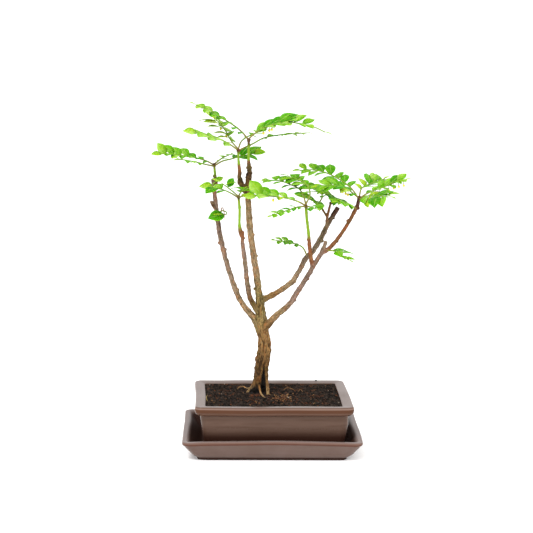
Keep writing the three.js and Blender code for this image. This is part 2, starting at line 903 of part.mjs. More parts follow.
function stemSolid(curve, grow) {
  const count = Math.max(2, Math.round(curve.getLength() / STEM.step));
  const radiusAt = (u) => lerp(STEM.rootRadius, STEM.tipRadius, u) + grow;
  return loft(sweep(curve, count, STEM.sides, radiusAt));
}

// The stem starts inside the wood, and what is taken there is cut away from it.
function spraySolid(spray, seed, taken) {
  const curve = curveOf(spray.route);
  const leaves = leavesOf(spray, curve, drawsFrom(seed)).map(leafSolid);
  const buds = (spray.buds ?? []).map((u) => budSolid(curve.getPointAt(u)));
  const whole = wasm.Manifold.union([stemSolid(curve, 0), ...leaves, ...buds]);
  return largest(whole.subtract(taken)).simplify(SMALLEST);
}

// The assembly

function meshOf(name, solid, colour, roughness) {
  const { vertProperties, triVerts } = solid.getMesh();
  const geometry = new THREE.BufferGeometry();
  geometry.setAttribute("position", new THREE.BufferAttribute(vertProperties, 3));
  geometry.setIndex(new THREE.BufferAttribute(triVerts, 1));
  geometry.computeVertexNormals();
  const material = new THREE.MeshStandardMaterial({ color: colour, roughness, metalness: 0 });
  const mesh = new THREE.Mesh(geometry, material);
  mesh.name = name;
  return mesh;
}

const wood = woodSolid();
const woodWithGap = woodSolid(GAP);

const bonsai = new THREE.Group();
bonsai.add(meshOf("saucer", saucerSolid(), COLOURS.saucer, ROUGHNESS.clay));
bonsai.add(meshOf("pot", potSolid(), COLOURS.clay, ROUGHNESS.clay));
bonsai.add(meshOf("soil", soilSolid(woodWithGap), COLOURS.soil, ROUGHNESS.soil));
bonsai.add(meshOf("tree", wood, COLOURS.bark, ROUGHNESS.bark));
let taken = woodWithGap;
Object.entries(SPRAYS).forEach(([name, spray], i) => {
  const solid = spraySolid(spray, FIRST_SEED + SEED_STEP * i, taken);
  bonsai.add(meshOf(name, solid, COLOURS.leaf, ROUGHNESS.leaf));
  taken = taken.add(stemSolid(curveOf(spray.route), GAP));
});

export default bonsai;
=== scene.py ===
# The looks of a phyllanthus buxifolius bonsai in its pot and saucer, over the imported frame.
# Lengths in the tables and builders are millimetres; meshes are made in metres.
import math
import random

import bmesh
import bpy
import numpy as np
from mathutils import Matrix, Vector, noise


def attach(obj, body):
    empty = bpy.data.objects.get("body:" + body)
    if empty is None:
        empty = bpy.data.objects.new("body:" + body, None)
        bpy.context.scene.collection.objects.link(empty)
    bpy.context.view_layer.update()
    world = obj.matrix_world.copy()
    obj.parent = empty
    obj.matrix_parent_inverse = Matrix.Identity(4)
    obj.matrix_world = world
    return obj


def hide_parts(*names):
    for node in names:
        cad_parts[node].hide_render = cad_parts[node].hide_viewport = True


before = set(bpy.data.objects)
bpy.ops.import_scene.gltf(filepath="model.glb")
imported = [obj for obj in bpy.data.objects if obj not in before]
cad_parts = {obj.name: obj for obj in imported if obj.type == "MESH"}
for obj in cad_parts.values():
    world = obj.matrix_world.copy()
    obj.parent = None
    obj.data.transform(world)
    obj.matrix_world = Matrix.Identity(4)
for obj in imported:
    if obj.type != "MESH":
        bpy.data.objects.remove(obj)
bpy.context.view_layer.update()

MM = 0.001

# The same sizes as in the solids
SAUCER = {"x": -2, "width": 173, "depth": 126, "height": 20.5, "wall_lean_x": 13, "wall_lean_y": 9,
          "rim": 5, "floor": 4, "corners": (7, 4)}
POT = {"width": 150, "depth": 110, "height": 49, "rim_height": 9.4, "rim_width": 9.3,
       "overhang": 4.2, "draft": 4, "floor": 4.5, "foot_height": 3, "corners": (6, 3)}
POT_FLOOR_Z = 4.3
POT_TOP_Z = POT_FLOOR_Z + POT["height"]
SOIL = {"below_rim": 1.9, "bump": 0.5, "mound": 1.2, "mound_radius": 22, "fine_share": 0.6,
        "mound_at": (-13, 9), "broad_waves": (0.21, 0.27), "fine_waves": (0.47, 0.39)}

# Leaves are thinner and a little wider than in the solids, and stems are round and taper more
LEAF = {"thickness": 0.4, "width_ratio": 0.64, "arch": 0.07, "pitch": 0.25, "fold": 0.22, "wave": 0.05,
        "skew": 0.1, "twist": 14, "roll": 13, "dip": 6, "least_shown": 0.17}
STEM = {"root_radius": 0.84, "tip_radius": 0.52}
BUD = {"radius": 1.15, "length": 2.9, "pedicel": 2.5, "pedicel_radius": 0.24}


# Curves and meshes

def share_of(value, low, high):
    return min(1.0, max(0.0, (value - low) / (high - low)))


class Curve:
    """A smooth curve through the points of a route, read by its share of the length."""

    STEPS = 200

    def __init__(self, route):
        pts = np.array(route, float)
        self.pts = np.vstack([2 * pts[0] - pts[1], pts, 2 * pts[-1] - pts[-2]])
        self.spans = len(pts) - 1
        self.t = np.linspace(0, 1, self.STEPS + 1)
        trail = np.array([self.at(t) for t in self.t])
        steps = np.linalg.norm(np.diff(trail, axis=0), axis=1)
        self.reach = np.concatenate([[0], np.cumsum(steps)])
        self.length = float(self.reach[-1])

    def at(self, t):
        place = min(max(t, 0.0), 1.0) * self.spans
        i = min(int(place), self.spans - 1)
        w = place - i
        before, a, b, after = self.pts[i:i + 4]
        ma = 0.5 * (b - before)
        mb = 0.5 * (after - a)
        return (a + ma * w + (3 * b - 3 * a - 2 * ma - mb) * w ** 2
                + (2 * a - 2 * b + ma + mb) * w ** 3)

    def t_of(self, u):
        return float(np.interp(u * self.length, self.reach, self.t))

    def point(self, u):
        return self.at(self.t_of(u))

    def tangent(self, u):
        t = self.t_of(u)
        way = self.at(min(t + 1e-4, 1)) - self.at(max(t - 1e-4, 0))
        return way / np.linalg.norm(way)


def frames(curve, count):
    """Centres, tangents and two cross directions along a curve, turned as little as it allows."""
    rows = []
    normal = None
    for k in range(count + 1):
        u = k / count
        tangent = curve.tangent(u)
        if normal is None:
            normal = np.array([0, 0, 1.0] if abs(tangent[0]) > 0.9 else [1.0, 0, 0])
        normal = normal - normal.dot(tangent) * tangent
        normal = normal / np.linalg.norm(normal)
        rows.append((u, curve.point(u), tangent, normal, np.cross(tangent, normal)))
    return rows


def ring_faces(rings, sides):
    """The faces between rings of vertices that follow each other."""
    faces = []
    for k in range(rings - 1):
        for i in range(sides):
            a = k * sides + i
            b = k * sides + (i + 1) % sides
            faces.append((a, b, b + sides, a + sides))
    return faces


class Build:
    """Gathers vertices and faces, with numbers for each vertex, into one mesh."""

    def __init__(self):
        self.verts = []
        self.faces = []
        self.slots = []
        self.values = {}

    def add(self, verts, faces, slot=0, **values):
        start = len(self.verts)
        self.verts.extend([tuple(v) for v in verts])
        self.faces.extend([tuple(start + i for i in f) for f in faces])
        self.slots.extend([slot] * len(faces))
        for name, value in values.items():
            held = self.values.setdefault(name, [])
            held.extend([0.0] * (start - len(held)))
            if np.isscalar(value):
                value = [value] * len(verts)
            held.extend(float(x) for x in value)

    def tube(self, rows, radius_at, sides, slot=0, **values):
        verts = []
        for u, centre, _, normal, other in rows:
            for i in range(sides):
                angle = 2 * math.pi * i / sides
                r = radius_at(u, angle)
                verts.append(centre + r * (math.cos(angle) * normal + math.sin(angle) * other))
        faces = ring_faces(len(rows), sides)
        faces.append(tuple(range(sides - 1, -1, -1)))
        last = (len(rows) - 1) * sides
        faces.append(tuple(last + i for i in range(sides)))
        self.add(verts, faces, slot, **values)

    def piece(self, name, materials, smooth=True):
        mesh = bpy.data.meshes.new(name)
        mesh.from_pydata([tuple(c * MM for c in v) for v in self.verts], [], self.faces)
        mesh.polygons.foreach_set("material_index", self.slots)
        mesh.polygons.foreach_set("use_smooth", [smooth] * len(self.faces))
        for key, held in self.values.items():
            held.extend([0.0] * (len(self.verts) - len(held)))
            mesh.attributes.new(key, "FLOAT", "POINT").data.foreach_set("value", held)
        return placed(name, mesh, materials)


def placed(name, mesh, materials):
    mesh.validate()
    mesh.update()
    for material in materials:
        mesh.materials.append(material)
    piece = bpy.data.objects.new(name, mesh)
    bpy.context.scene.collection.objects.link(piece)
    return piece


# Materials

class Nodes:
    """A material's node tree, with short calls for the nodes that these surfaces use."""

    def __init__(self, name):
        self.material = bpy.data.materials.new(name)
        self.material.use_nodes = True
        self.tree = self.material.node_tree
        self.shader = self.tree.nodes["Principled BSDF"]

    def new(self, kind, **settings):
        node = self.tree.nodes.new("ShaderNode" + kind)
        for key, value in settings.items():
            setattr(node, key, value)
        return node

    def join(self, source, target):
        if isinstance(source, (int, float, tuple)):
            target.default_value = source
        else:
            self.tree.links.new(source, target)

    def here(self):
        return self.new("TexCoord").outputs["Object"]

    def held(self, name, output="Fac"):
        return self.new("Attribute", attribute_name=name).outputs[output]

    def scaled(self, vector, scale):
        node = self.new("Mapping")
        self.join(vector, node.inputs["Vector"])
        node.inputs["Scale"].default_value = scale
        return node.outputs["Vector"]

    def grain(self, vector, scale, detail=4.0, roughness=0.55, distortion=0.0):
        node = self.new("TexNoise")
        self.join(vector, node.inputs["Vector"])
        node.inputs["Scale"].default_value = scale
        node.inputs["Detail"].default_value = detail
        node.inputs["Roughness"].default_value = roughness
        node.inputs["Distortion"].default_value = distortion
        return node.outputs["Fac"]

    def cells(self, vector, scale):
        node = self.new("TexVoronoi", feature="F1")
        self.join(vector, node.inputs["Vector"])
        node.inputs["Scale"].default_value = scale
        return node.outputs["Distance"]

    def span(self, value, low, high, to_low=0.0, to_high=1.0):
        node = self.new("MapRange")
        self.join(value, node.inputs["Value"])
        for key, number in (("From Min", low), ("From Max", high), ("To Min", to_low), ("To Max", to_high)):
            node.inputs[key].default_value = number
        return node.outputs["Result"]

    def sum(self, operation, a, b=0.0):
        node = self.new("Math", operation=operation)
        self.join(a, node.inputs[0])
        self.join(b, node.inputs[1])
        return node.outputs["Value"]

    def mix(self, share, a, b, blend="MIX"):
        node = self.new("Mix", data_type="RGBA", blend_type=blend)
        self.join(share, node.inputs["Factor"])
        self.join(a, node.inputs["A"])
        self.join(b, node.inputs["B"])
        return node.outputs["Result"]

    def bump(self, height, distance, strength=1.0, under=None):
        node = self.new("Bump")
        self.join(height, node.inputs["Height"])
        node.inputs["Distance"].default_value = distance
        node.inputs["Strength"].default_value = strength
        if under is not None:
            self.join(under, node.inputs["Normal"])
        return node.outputs["Normal"]

    def finish(self, colour, roughness, normal=None, specular=0.5, **others):
        self.join(colour, self.shader.inputs["Base Color"])
        self.join(roughness, self.shader.inputs["Roughness"])
        self.shader.inputs["Specular IOR Level"].default_value = specular
        if normal is not None:
            self.join(normal, self.shader.inputs["Normal"])
        for key, value in others.items():
            self.shader.inputs[key.replace("_", " ")].default_value = value
        return self.material


LIGHT = 2.0  # how many times its base colour a matt upright surface shows under these lamps


def seen(red, green, blue, shine=0.02):
    """The base colour of a surface that looks like this sRGB colour, 0 to 255, in the scene."""
    base = []
    for c in (red / 255, green / 255, blue / 255):
        linear = c / 12.92 if c <= 0.04045 else ((c + 0.055) / 1.055) ** 2.4
        base.append(min(0.92, max(0.003, (linear - shine) / LIGHT)))
    return (*base, 1.0)


# The colours: clouded dark and light clay, speckle, streak stain and the ruddy lip, then edge, a painted
# highlight along the rims' rounded upper edges, and top, a painted reflection of the sky on the rims' top
# faces.
def clay_material(name, dark, light, pale, stain, ruddy, edge, top):
    m = Nodes(name)
    here = m.here()
    clouds = m.grain(here, 34, 4.0)
    speckle = m.grain(here, 620, 3.0, 0.65)
    streaks = m.grain(m.scaled(here, (24, 24, 300)), 1.0, 3.0)
    body = m.mix(m.span(clouds, 0.35, 0.65), dark, light)
    body = m.mix(m.sum("MULTIPLY", m.held("lip"), 0.8), body, ruddy)
    # Painted highlight along the rims' upper edges, and a painted reflection of the floor on the pot rim's
    # lower band.
    body = m.mix(m.sum("MULTIPLY", m.held("edge"), 0.85), body, edge)
    # Painted reflection: the rims' top faces get a pale colour for the sky they mirror at a grazing angle.
    body = m.mix(m.sum("MULTIPLY", m.held("flat"), 0.85), body, top)
    body = m.mix(m.span(speckle, 0.6, 0.76, 0.0, 0.1), body, pale)
    body = m.mix(m.span(streaks, 0.5, 0.8, 0.0, 0.45), body, stain)
    # Painted shade: the clay turns dark where the sheltered attribute says, inside the saucer and the pot,
    # at the saucer's foot, in the groove under the pot's rim, low on the pot's wall and on its feet; the
    # clay is rougher there too.
    body = m.mix(m.held("sheltered"), body, seen(60, 30, 12, 0))
    gloss = m.sum("ADD", m.span(clouds, 0.3, 0.7, 0.16, 0.21), m.span(speckle, 0.4, 0.7, 0.0, 0.04))
    gloss = m.sum("ADD", gloss, m.sum("MULTIPLY", m.held("flat"), 0.16))
    gloss = m.sum("ADD", gloss, m.sum("MULTIPLY", m.held("sheltered"), 0.4))
    relief = m.bump(speckle, 0.00002, 0.15)
    relief = m.bump(m.grain(here, 90, 2.0), 0.0002, 0.12, relief)
    return m.finish(body, gloss, relief, 0.12)


# Camera, ground and light

CAMERA = {"azimuth": -2.72, "elevation": 9.42, "roll": 0.63, "distance": 1600, "lens": 111.04,
          "sensor": 36, "target": (-6.9, 0, 179.6)}

# In metres, and for the lamps: name, place, side of the square, power in watts
CLIP = (0.05, 60)
GROUND_HALF = 6.0
LAMPS = [("key", (-0.9, -1.3, 2.0), 0.7, 36.0), ("fill", (1.5, -1.2, 1.2), 1.4, 12.0)]
LAMPS_AIM = (0, 0, 0.17)
SKY_STRENGTH = 1.5


def place_camera():
    turn, rise, roll = (math.radians(CAMERA[k]) for k in ("azimuth", "elevation", "roll"))
    back = Vector((math.sin(turn) * math.cos(rise), -math.cos(turn) * math.cos(rise), math.sin(rise)))
    right = Vector((math.cos(turn), math.sin(turn), 0))
    up = back.cross(right)
    across = right * math.cos(roll) + up * math.sin(roll)
    upward = up * math.cos(roll) - right * math.sin(roll)
    data = bpy.data.cameras.new("camera")
    data.lens = CAMERA["lens"]
    data.sensor_width = CAMERA["sensor"]
    data.clip_start, data.clip_end = CLIP
    camera = bpy.data.objects.new("camera", data)
    camera.matrix_world = Matrix((across, upward, back)).transposed().to_4x4()
    camera.location = (Vector(CAMERA["target"]) + back * CAMERA["distance"]) * MM
    bpy.context.scene.collection.objects.link(camera)
    bpy.context.scene.camera = camera


def place_ground():
    half = GROUND_HALF
    mesh = bpy.data.meshes.new("ground")
    corners = [(-half, -half, 0), (half, -half, 0), (half, half, 0), (-half, half, 0)]
    mesh.from_pydata(corners, [], [(0, 1, 2, 3)])
    m = Nodes("ground_paper")
    tone = m.mix(m.grain(m.here(), 3, 2.0), (0.93, 0.93, 0.93, 1), (0.95, 0.95, 0.95, 1))
    ground = placed("ground", mesh, [m.finish(tone, 0.9, None, 0.1)])


def place_lights():
    world = bpy.data.worlds.new("studio")
    bpy.context.scene.world = world
    world.use_nodes = True
    sky = world.node_tree.nodes["Background"]
    sky.inputs["Color"].default_value = (1.0, 1.0, 1.0, 1)
    sky.inputs["Strength"].default_value = SKY_STRENGTH
    for name, at, size, power in LAMPS:
        data = bpy.data.lights.new(name, "AREA")
        data.shape = "SQUARE"
        data.size = size
        data.energy = power
        lamp = bpy.data.objects.new(name, data)
        lamp.location = at
        aim = Vector(LAMPS_AIM) - Vector(at)
        lamp.rotation_euler = aim.to_track_quat("-Z", "Y").to_euler()
        bpy.context.scene.collection.objects.link(lamp)
    bpy.context.scene.view_settings.view_transform = "Standard"


# Saucer and pot: rings of a rectangle with round corners, from a profile with rounded bends

SAUCER_ASKEW = 0.017  # how far the saucer is turned, in radians, about the middle of its front
SAUCER_TAPER = 0.011  # how much narrower its back is
SAUCER_SAG = (-0.5, 2.0)  # how much lower its front lip is at the middle, and further at the ends
POT_DIP = 1.2  # how much lower the front of the pot's rim is
POT_BULGE = {"rim": 1.2, "wall": 2.1, "left": 0.6}
# The rims' top faces carry a painted reflection of the sky; INNER_BRIM is how far below the top it reaches
# on the inside.
INNER_BRIM = 1.2  # how far below the rim's top its paler shade reaches on the inside
FOOT = {"at": (50.8, 34.8), "length": 20, "width": 12, "into_base": 0.6, "corner": 2.5, "bend": 1.6}


def rounded(profile, arc=5):
    """A profile of (inset along X, inset along Y, height, bend radius), with its bends as arcs."""
    line = []
    for k, (*place, radius) in enumerate(profile):
        here = np.array(place, float)
        if k in (0, len(profile) - 1) or radius <= 0:
            line.append(here)
            continue
        before = np.array(profile[k - 1][:3], float) - here
        after = np.array(profile[k + 1][:3], float) - here
        cut = min(radius, 0.48 * np.linalg.norm(before), 0.48 * np.linalg.norm(after))
        a = here + before / np.linalg.norm(before) * cut
        b = here + after / np.linalg.norm(after) * cut
        for i in range(arc + 1):
            w = i / arc
            line.append((1 - w) ** 2 * a + 2 * w * (1 - w) * here + w ** 2 * b)
    return line


def rectangle(width, depth, corner, cuts=14, bends=9):
    """Points round a rectangle with round corners."""
    ring = []
    corner = max(corner, 0.5)
    centres = [(1, -1, -90), (1, 1, 0), (-1, 1, 90), (-1, -1, 180)]
    for k, (sx, sy, start) in enumerate(centres):
        cx = sx * (width / 2 - corner)
        cy = sy * (depth / 2 - corner)
        for i in range(bends + 1):
            angle = math.radians(start + 90 * i / bends)
            ring.append((cx + corner * math.cos(angle), cy + corner * math.sin(angle)))
        nx, ny, turn = centres[(k + 1) % 4]
        angle = math.radians(turn)
        end = (nx * (width / 2 - corner) + corner * math.cos(angle),
               ny * (depth / 2 - corner) + corner * math.sin(angle))
        last = ring[-1]
        for i in range(1, cuts):
            w = i / cuts
            ring.append((last[0] + (end[0] - last[0]) * w, last[1] + (end[1] - last[1]) * w))
    return ring


def hand_made(x, y, z, amount):
    """The slight unevenness of pressed clay, so that no edge is dead straight."""
    place = Vector((x, y, z))
    dx = noise.noise(place * 0.021 + Vector((7, 0, 0)))
    dy = noise.noise(place * 0.021 + Vector((0, 9, 0)))
    dz = noise.noise(Vector((x, y, 0)) * 0.024 + Vector((0, 0, 5)))
    return (x + amount * dx, y + amount * dy, z + amount * dz)


def clay_vessel(build, size, x, profile, corners, rim, wobble, settle, shades, warp):
    """corners: the corner radius outside and inside, which change over across the rim's width."""
    line = rounded(profile)
    rings = []
    shade = {"lip": [], "edge": [], "sheltered": [], "flat": []}
    top = max(range(len(line)), key=lambda k: line[k][2] - 0.001 * k)
    for k, (inset_x, inset_y, z) in enumerate(line):
        inner = min(1, inset_x / rim) if k > top else 0
        corner = corners[0] + (corners[1] - corners[0]) * inner
        flat = rectangle(size["width"] - 2 * inset_x, size["depth"] - 2 * inset_y, corner)
        amount = wobble * min(1.0, max(0.0, (z - settle) / 12))
        rings.append([warp(*hand_made(px + x, py, z, amount)) for px, py in flat])
        # How much a ring lies on the rim's top (the flat attribute), where the clay gets the painted
        # reflection of the sky and a rougher finish.
        brim = line[top][2] - (INNER_BRIM if k > top else 0)
        top_reflection_share = share_of(z, brim - 0.8, brim - 0.1)
        for held, value in zip(shade.values(), (*shades(k > top, z), top_reflection_share)):
            held += [value] * len(flat)
    sides = len(rings[0])
    verts = [p for ring in rings for p in ring]
    faces = ring_faces(len(rings), sides)
    for start, flip in ((0, True), ((len(rings) - 1) * sides, False)):
        middle = len(verts)
        verts.append(tuple(np.mean(verts[start:start + sides], axis=0)))
        for i in range(sides):
            a, b = start + i, start + (i + 1) % sides
            faces.append((middle, b, a) if flip else (middle, a, b))
    for held in shade.values():
        held += [held[0], held[-1]]
    build.add(verts, faces, **shade)


def saucer_shades(inside, z):
    """How ruddy the clay is under the lip, how much painted highlight its upper lip gets, and how much
    painted shade darkens the foot and the inside.
    """
    if inside:
        # Painted shade inside the saucer, below its rim.
        return 0.0, 0.0, 0.96 * share_of(z, 19.4, 16.8)
    ruddy = share_of(z, 16.5, 17.1) * (1 - 0.7 * share_of(z, 18.2, 19))
    # Painted highlight along the upper lip, and painted shade at the foot.
    return ruddy, 0.4 * share_of(z, 18, 19), 0.95 * share_of(z, 3.6, 2.4)


def saucer_warp(x, y, z):
    """The saucer stands a little askew under the pot."""
    back = y + SAUCER["depth"] / 2
    sag = SAUCER_SAG[0] + SAUCER_SAG[1] * (x / 86) ** 2
    z -= sag * share_of(z, 8, 15) * share_of(y, -40, -55)
    return x * (1 - SAUCER_TAPER * back / SAUCER["depth"]) + SAUCER_ASKEW * back, y - SAUCER_ASKEW * x, z


def make_saucer():
    build = Build()
    lean_x, lean_y, top, rim = (SAUCER[k] for k in ("wall_lean_x", "wall_lean_y", "height", "rim"))
    profile = [
        (lean_x + 3.2, lean_y + 2.6, 0, 0), (lean_x + 1.2, lean_y + 0.8, 0.1, 0.7),
        (lean_x + 1, lean_y + 0.6, 1.9, 0.6), (lean_x - 0.8, lean_y - 0.6, 3.0, 0.9),
        (8.9, 6.2, 5.4, 2.2), (5.2, 3.7, 10.6, 4), (1.2, 0.9, 16.6, 0.8), (0.3, 0.3, 17.2, 0.7),
        (-0.2, -0.2, 18.6, 1), (0.1, 0.1, top, 1.4), (rim, rim, top, 2.2), (7.9, 7.0, 16.8, 0),
        (lean_x + rim - 0.7, lean_y + rim - 0.5, 4.6, 4.0), (24, 20, SAUCER["floor"], 0),
    ]
    clay_vessel(build, SAUCER, SAUCER["x"], profile, SAUCER["corners"], rim, 0.6, 3, saucer_shades,
                saucer_warp)
    saucer = build.piece("saucer_of_clay", [CLAY_SAUCER])
    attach(saucer, "root")
    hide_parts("saucer")


def pot_foot(build, centre, height):
    """A block whose upright edges and lower edges are rounded."""
    inset = FOOT["bend"] * 0.6
    profile = rounded([(inset, inset, 0, 0), (0, 0, inset, FOOT["bend"]), (0, 0, height, 0)], 4)
    rings = []
    for inset, _, z in profile:
        flat = rectangle(FOOT["length"] - 2 * inset, FOOT["width"] - 2 * inset, FOOT["corner"], 2, 5)
        rings.append([(centre[0] + px, centre[1] + py, centre[2] + z) for px, py in flat])
    sides = len(rings[0])
    verts = [p for ring in rings for p in ring]
    faces = [tuple(range(sides - 1, -1, -1))] + ring_faces(len(rings), sides)
    faces.append(tuple((len(rings) - 1) * sides + i for i in range(sides)))
    # The feet are painted in shade, under the pot.
    build.add(verts, faces, sheltered=0.9)


def pot_shades(inside, z):
    # Painted shade inside the pot, below its rim.
    if inside:
        return 0.0, 0.0, 0.9 * share_of(z, 48, 40)
    under = POT_TOP_Z - POT["rim_height"]
    # Painted highlight along the rim's rounded upper edge, and a weaker painted reflection of the floor on
    # the rim's lower band.
    painted_highlight = max(0.0, 1 - abs(z - POT_TOP_Z + 1.7) / 1.1) + 0.3 * share_of(z, under + 4, under + 3)
    # Painted shade in the groove under the rim, and low on the wall where the saucer shades it.
    painted_groove_shade = 0.6 * max(0.0, 1 - abs(z - under) / 0.9)
    return share_of(z, under - 0.3, under + 1), painted_highlight, max(painted_groove_shade, 0.95 * share_of(z, 29.5, 21.5))


def pot_warp(x, y, z):
    """The right-hand wall bulges out a little more than the left one, most in front."""
    bulge = POT_BULGE["rim"] + (POT_BULGE["wall"] - POT_BULGE["rim"]) * share_of(z, 42, 38)
    bulge *= 0.2 + 0.8 * share_of(y, 45, -45)
    left = POT_BULGE["left"] * share_of(x, -68, -74)
    dip = POT_DIP * share_of(z, 30, 42) * share_of(y, -20, -52)
    return x + bulge * share_of(x, 66.5, 73 if z > 40 else 70) - left, y, z - dip


def make_pot():
    build = Build()
    bottom = POT_FLOOR_Z + POT["foot_height"]
    under = POT_TOP_Z - POT["rim_height"]
    foot_inset = POT["overhang"] + POT["draft"]
    rim = POT["rim_width"]
    low = bottom + 1.6
    wall = [(foot_inset - POT["draft"] * (z - low) / (under - low), z, 0) for z in (15, 18, 21, 24, 27, 34)]
    outline = [
        (foot_inset + 2, bottom, 0), (foot_inset, low, 2.4), *wall, (POT["overhang"], under, 0.8),
        (2.6, under + 0.2, 1.0), (0.1, under + 2.3, 2.4), (-0.4, under + 5.6, 3.0),
        (-0.3, POT_TOP_Z - 2.4, 1.0), (0, POT_TOP_Z - 1.0, 0.8), (0.9, POT_TOP_Z, 1.2),
        (5.2, POT_TOP_Z - 0.15, 1.5), (rim, POT_TOP_Z - 1.1, 1.6),
        (rim + 4, bottom + POT["floor"], 1.5), (rim + 12, bottom + POT["floor"], 0),
    ]
    profile = [(inset, inset, z, bend) for inset, z, bend in outline]
    clay_vessel(build, POT, 0, profile, POT["corners"], rim, 0.7, POT_FLOOR_Z + 8, pot_shades, pot_warp)
    for sx in (-1, 1):
        for sy in (-1, 1):
            centre = (sx * FOOT["at"][0], sy * FOOT["at"][1], POT_FLOOR_Z)
            pot_foot(build, centre, POT["foot_height"] + FOOT["into_base"])
    pot = build.piece("pot_of_clay", [CLAY_POT])
    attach(pot, "root")
    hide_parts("pot")


# Soil

# Its mesh: the step, the gap to the wall, how far its edge sinks and how widely, and how much
# smaller its underside is on each side
SOIL_STEP, SOIL_GAP, EDGE_DROP, EDGE_REACH, SOIL_TAPER = 0.62, 0.1, 0.7, 1.2, 3.7


def soil_height(x, y):
    away = math.hypot(x - SOIL["mound_at"][0], y - SOIL["mound_at"][1])
    (broad_x, broad_y), (fine_x, fine_y) = SOIL["broad_waves"], SOIL["fine_waves"]
    waves = math.sin(x * broad_x + 1) * math.cos(y * broad_y)
    waves += SOIL["fine_share"] * math.sin(x * fine_x - y * fine_y)
    mound = SOIL["mound"] * math.exp(-((away / SOIL["mound_radius"]) ** 2))
    return POT_TOP_Z - SOIL["below_rim"] + SOIL["bump"] * waves + mound


def crumbly_height(x, y):
    place = Vector((x, y, 0))
    lumps = noise.noise(place * 0.16) * 0.5 + abs(noise.noise(place * 0.42 + Vector((3, 8, 1)))) * 1.1
    crumbs = noise.noise(place * 0.8) * 0.8 + noise.noise(place * 1.7 + Vector((0, 4, 2))) * 0.5
    return soil_height(x, y) - 0.45 + lumps + crumbs


def soil_material(name):
    m = Nodes(name)
    here = m.here()
    fine = m.grain(here, 1000, 5.0, 0.75)
    coarse = m.grain(here, 330, 4.0, 0.7)
    fibres = m.grain(m.scaled(here, (1, 3.2, 1)), 330, 3.0, 0.6, 1.2)
    body = m.mix(m.span(coarse, 0.46, 0.57), seen(12, 8, 6, 0), seen(80, 68, 60, 0))
    body = m.mix(m.span(fine, 0.52, 0.66, 0.0, 0.75), body, seen(102, 86, 76, 0))
    body = m.mix(m.span(fibres, 0.62, 0.68, 0.0, 0.7), body, seen(112, 86, 64, 0))
    body = m.mix(m.span(m.cells(here, 380), 0.0, 0.3, 0.9, 0.0), body, seen(14, 9, 7, 0))
    body = m.mix(m.span(m.grain(here, 130, 3.0), 0.46, 0.6, 0.0, 0.6), body, seen(14, 9, 7, 0))
    normal = m.bump(fine, 0.0008, 1.0)
    return m.finish(body, 1.0, normal, 0.02)


def make_soil():
    build = Build()
    half_x = POT["width"] / 2 - POT["rim_width"] - SOIL_GAP
    half_y = POT["depth"] / 2 - POT["rim_width"] - SOIL_GAP
    nx, ny = round(2 * half_x / SOIL_STEP), round(2 * half_y / SOIL_STEP)
    verts = []
    for j in range(ny + 1):
        for i in range(nx + 1):
            x = -half_x + 2 * half_x * i / nx
            y = -half_y + 2 * half_y * j / ny
            edge = min(half_x - abs(x), half_y - abs(y))
            drop = EDGE_DROP * math.exp(-edge / EDGE_REACH)
            verts.append((x, y, crumbly_height(x, y) - drop))
    faces = []
    for j in range(ny):
        for i in range(nx):
            a = j * (nx + 1) + i
            faces.append((a, a + 1, a + nx + 2, a + nx + 1))
    rim = list(range(nx + 1))
    rim += [j * (nx + 1) + nx for j in range(1, ny + 1)]
    rim += [ny * (nx + 1) + i for i in range(nx - 1, -1, -1)]
    rim += [j * (nx + 1) for j in range(ny - 1, 0, -1)]
    low = POT_FLOOR_Z + POT["foot_height"] + POT["floor"] + 0.3
    start = len(verts)
    for k in rim:
        x, y, _ = verts[k]
        verts.append((x * (1 - SOIL_TAPER / half_x), y * (1 - SOIL_TAPER / half_y), low))
    count = len(rim)
    for k in range(count):
        n = (k + 1) % count
        faces.append((rim[n], rim[k], start + k, start + n))
    faces.append(tuple(start + k for k in range(count - 1, -1, -1)))
    build.add(verts, faces)
    soil = build.piece("earth", [SOIL_EARTH])
    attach(soil, "root")
    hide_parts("soil")


LUMP_SQUASH = 0.8


def lump(build, at, size, rng, slot):
    """A crumb: a small irregular stone with twelve corners."""
    mesh = bmesh.new()
    bmesh.ops.create_icosphere(mesh, subdivisions=1, radius=1)
    verts = []
    for v in mesh.verts:
        swell = 1 + 0.28 * (rng.random() * 2 - 1)
        verts.append((at[0] + v.co.x * size * swell, at[1] + v.co.y * size * swell,
                      at[2] + v.co.z * size * swell * LUMP_SQUASH))
    faces = [tuple(v.index for v in f.verts) for f in mesh.faces]
    mesh.free()
    build.add(verts, faces, slot)


def chip(build, at, length, width, turn, tilt, slot):
    """A sliver of bark or pumice: a thin plate with slanting ends."""
    ahead = np.array([math.cos(turn) * math.cos(tilt), math.sin(turn) * math.cos(tilt), math.sin(tilt)])
    side = np.array([-math.sin(turn), math.cos(turn), 0])
    up = np.cross(ahead, side)
    verts = []
    for z in (-0.5, 0.5):
        for a, b in ((-0.5, -0.3), (0.35, -0.5), (0.5, 0.25), (-0.3, 0.5)):
            verts.append(np.array(at) + ahead * a * length + side * b * width + up * z * width * 0.45)
    faces = [(3, 2, 1, 0), (4, 5, 6, 7)] + [(i, (i + 1) % 4, 4 + (i + 1) % 4, 4 + i) for i in range(4)]
    build.add(verts, faces, slot)


def strand(build, points, radius, slot, sides, count):
    rows = frames(Curve(points), count)
    build.tube(rows, lambda u, angle: radius * (1 - 0.45 * abs(2 * u - 1) ** 2), sides, slot)


# Routes: the same as in the solids

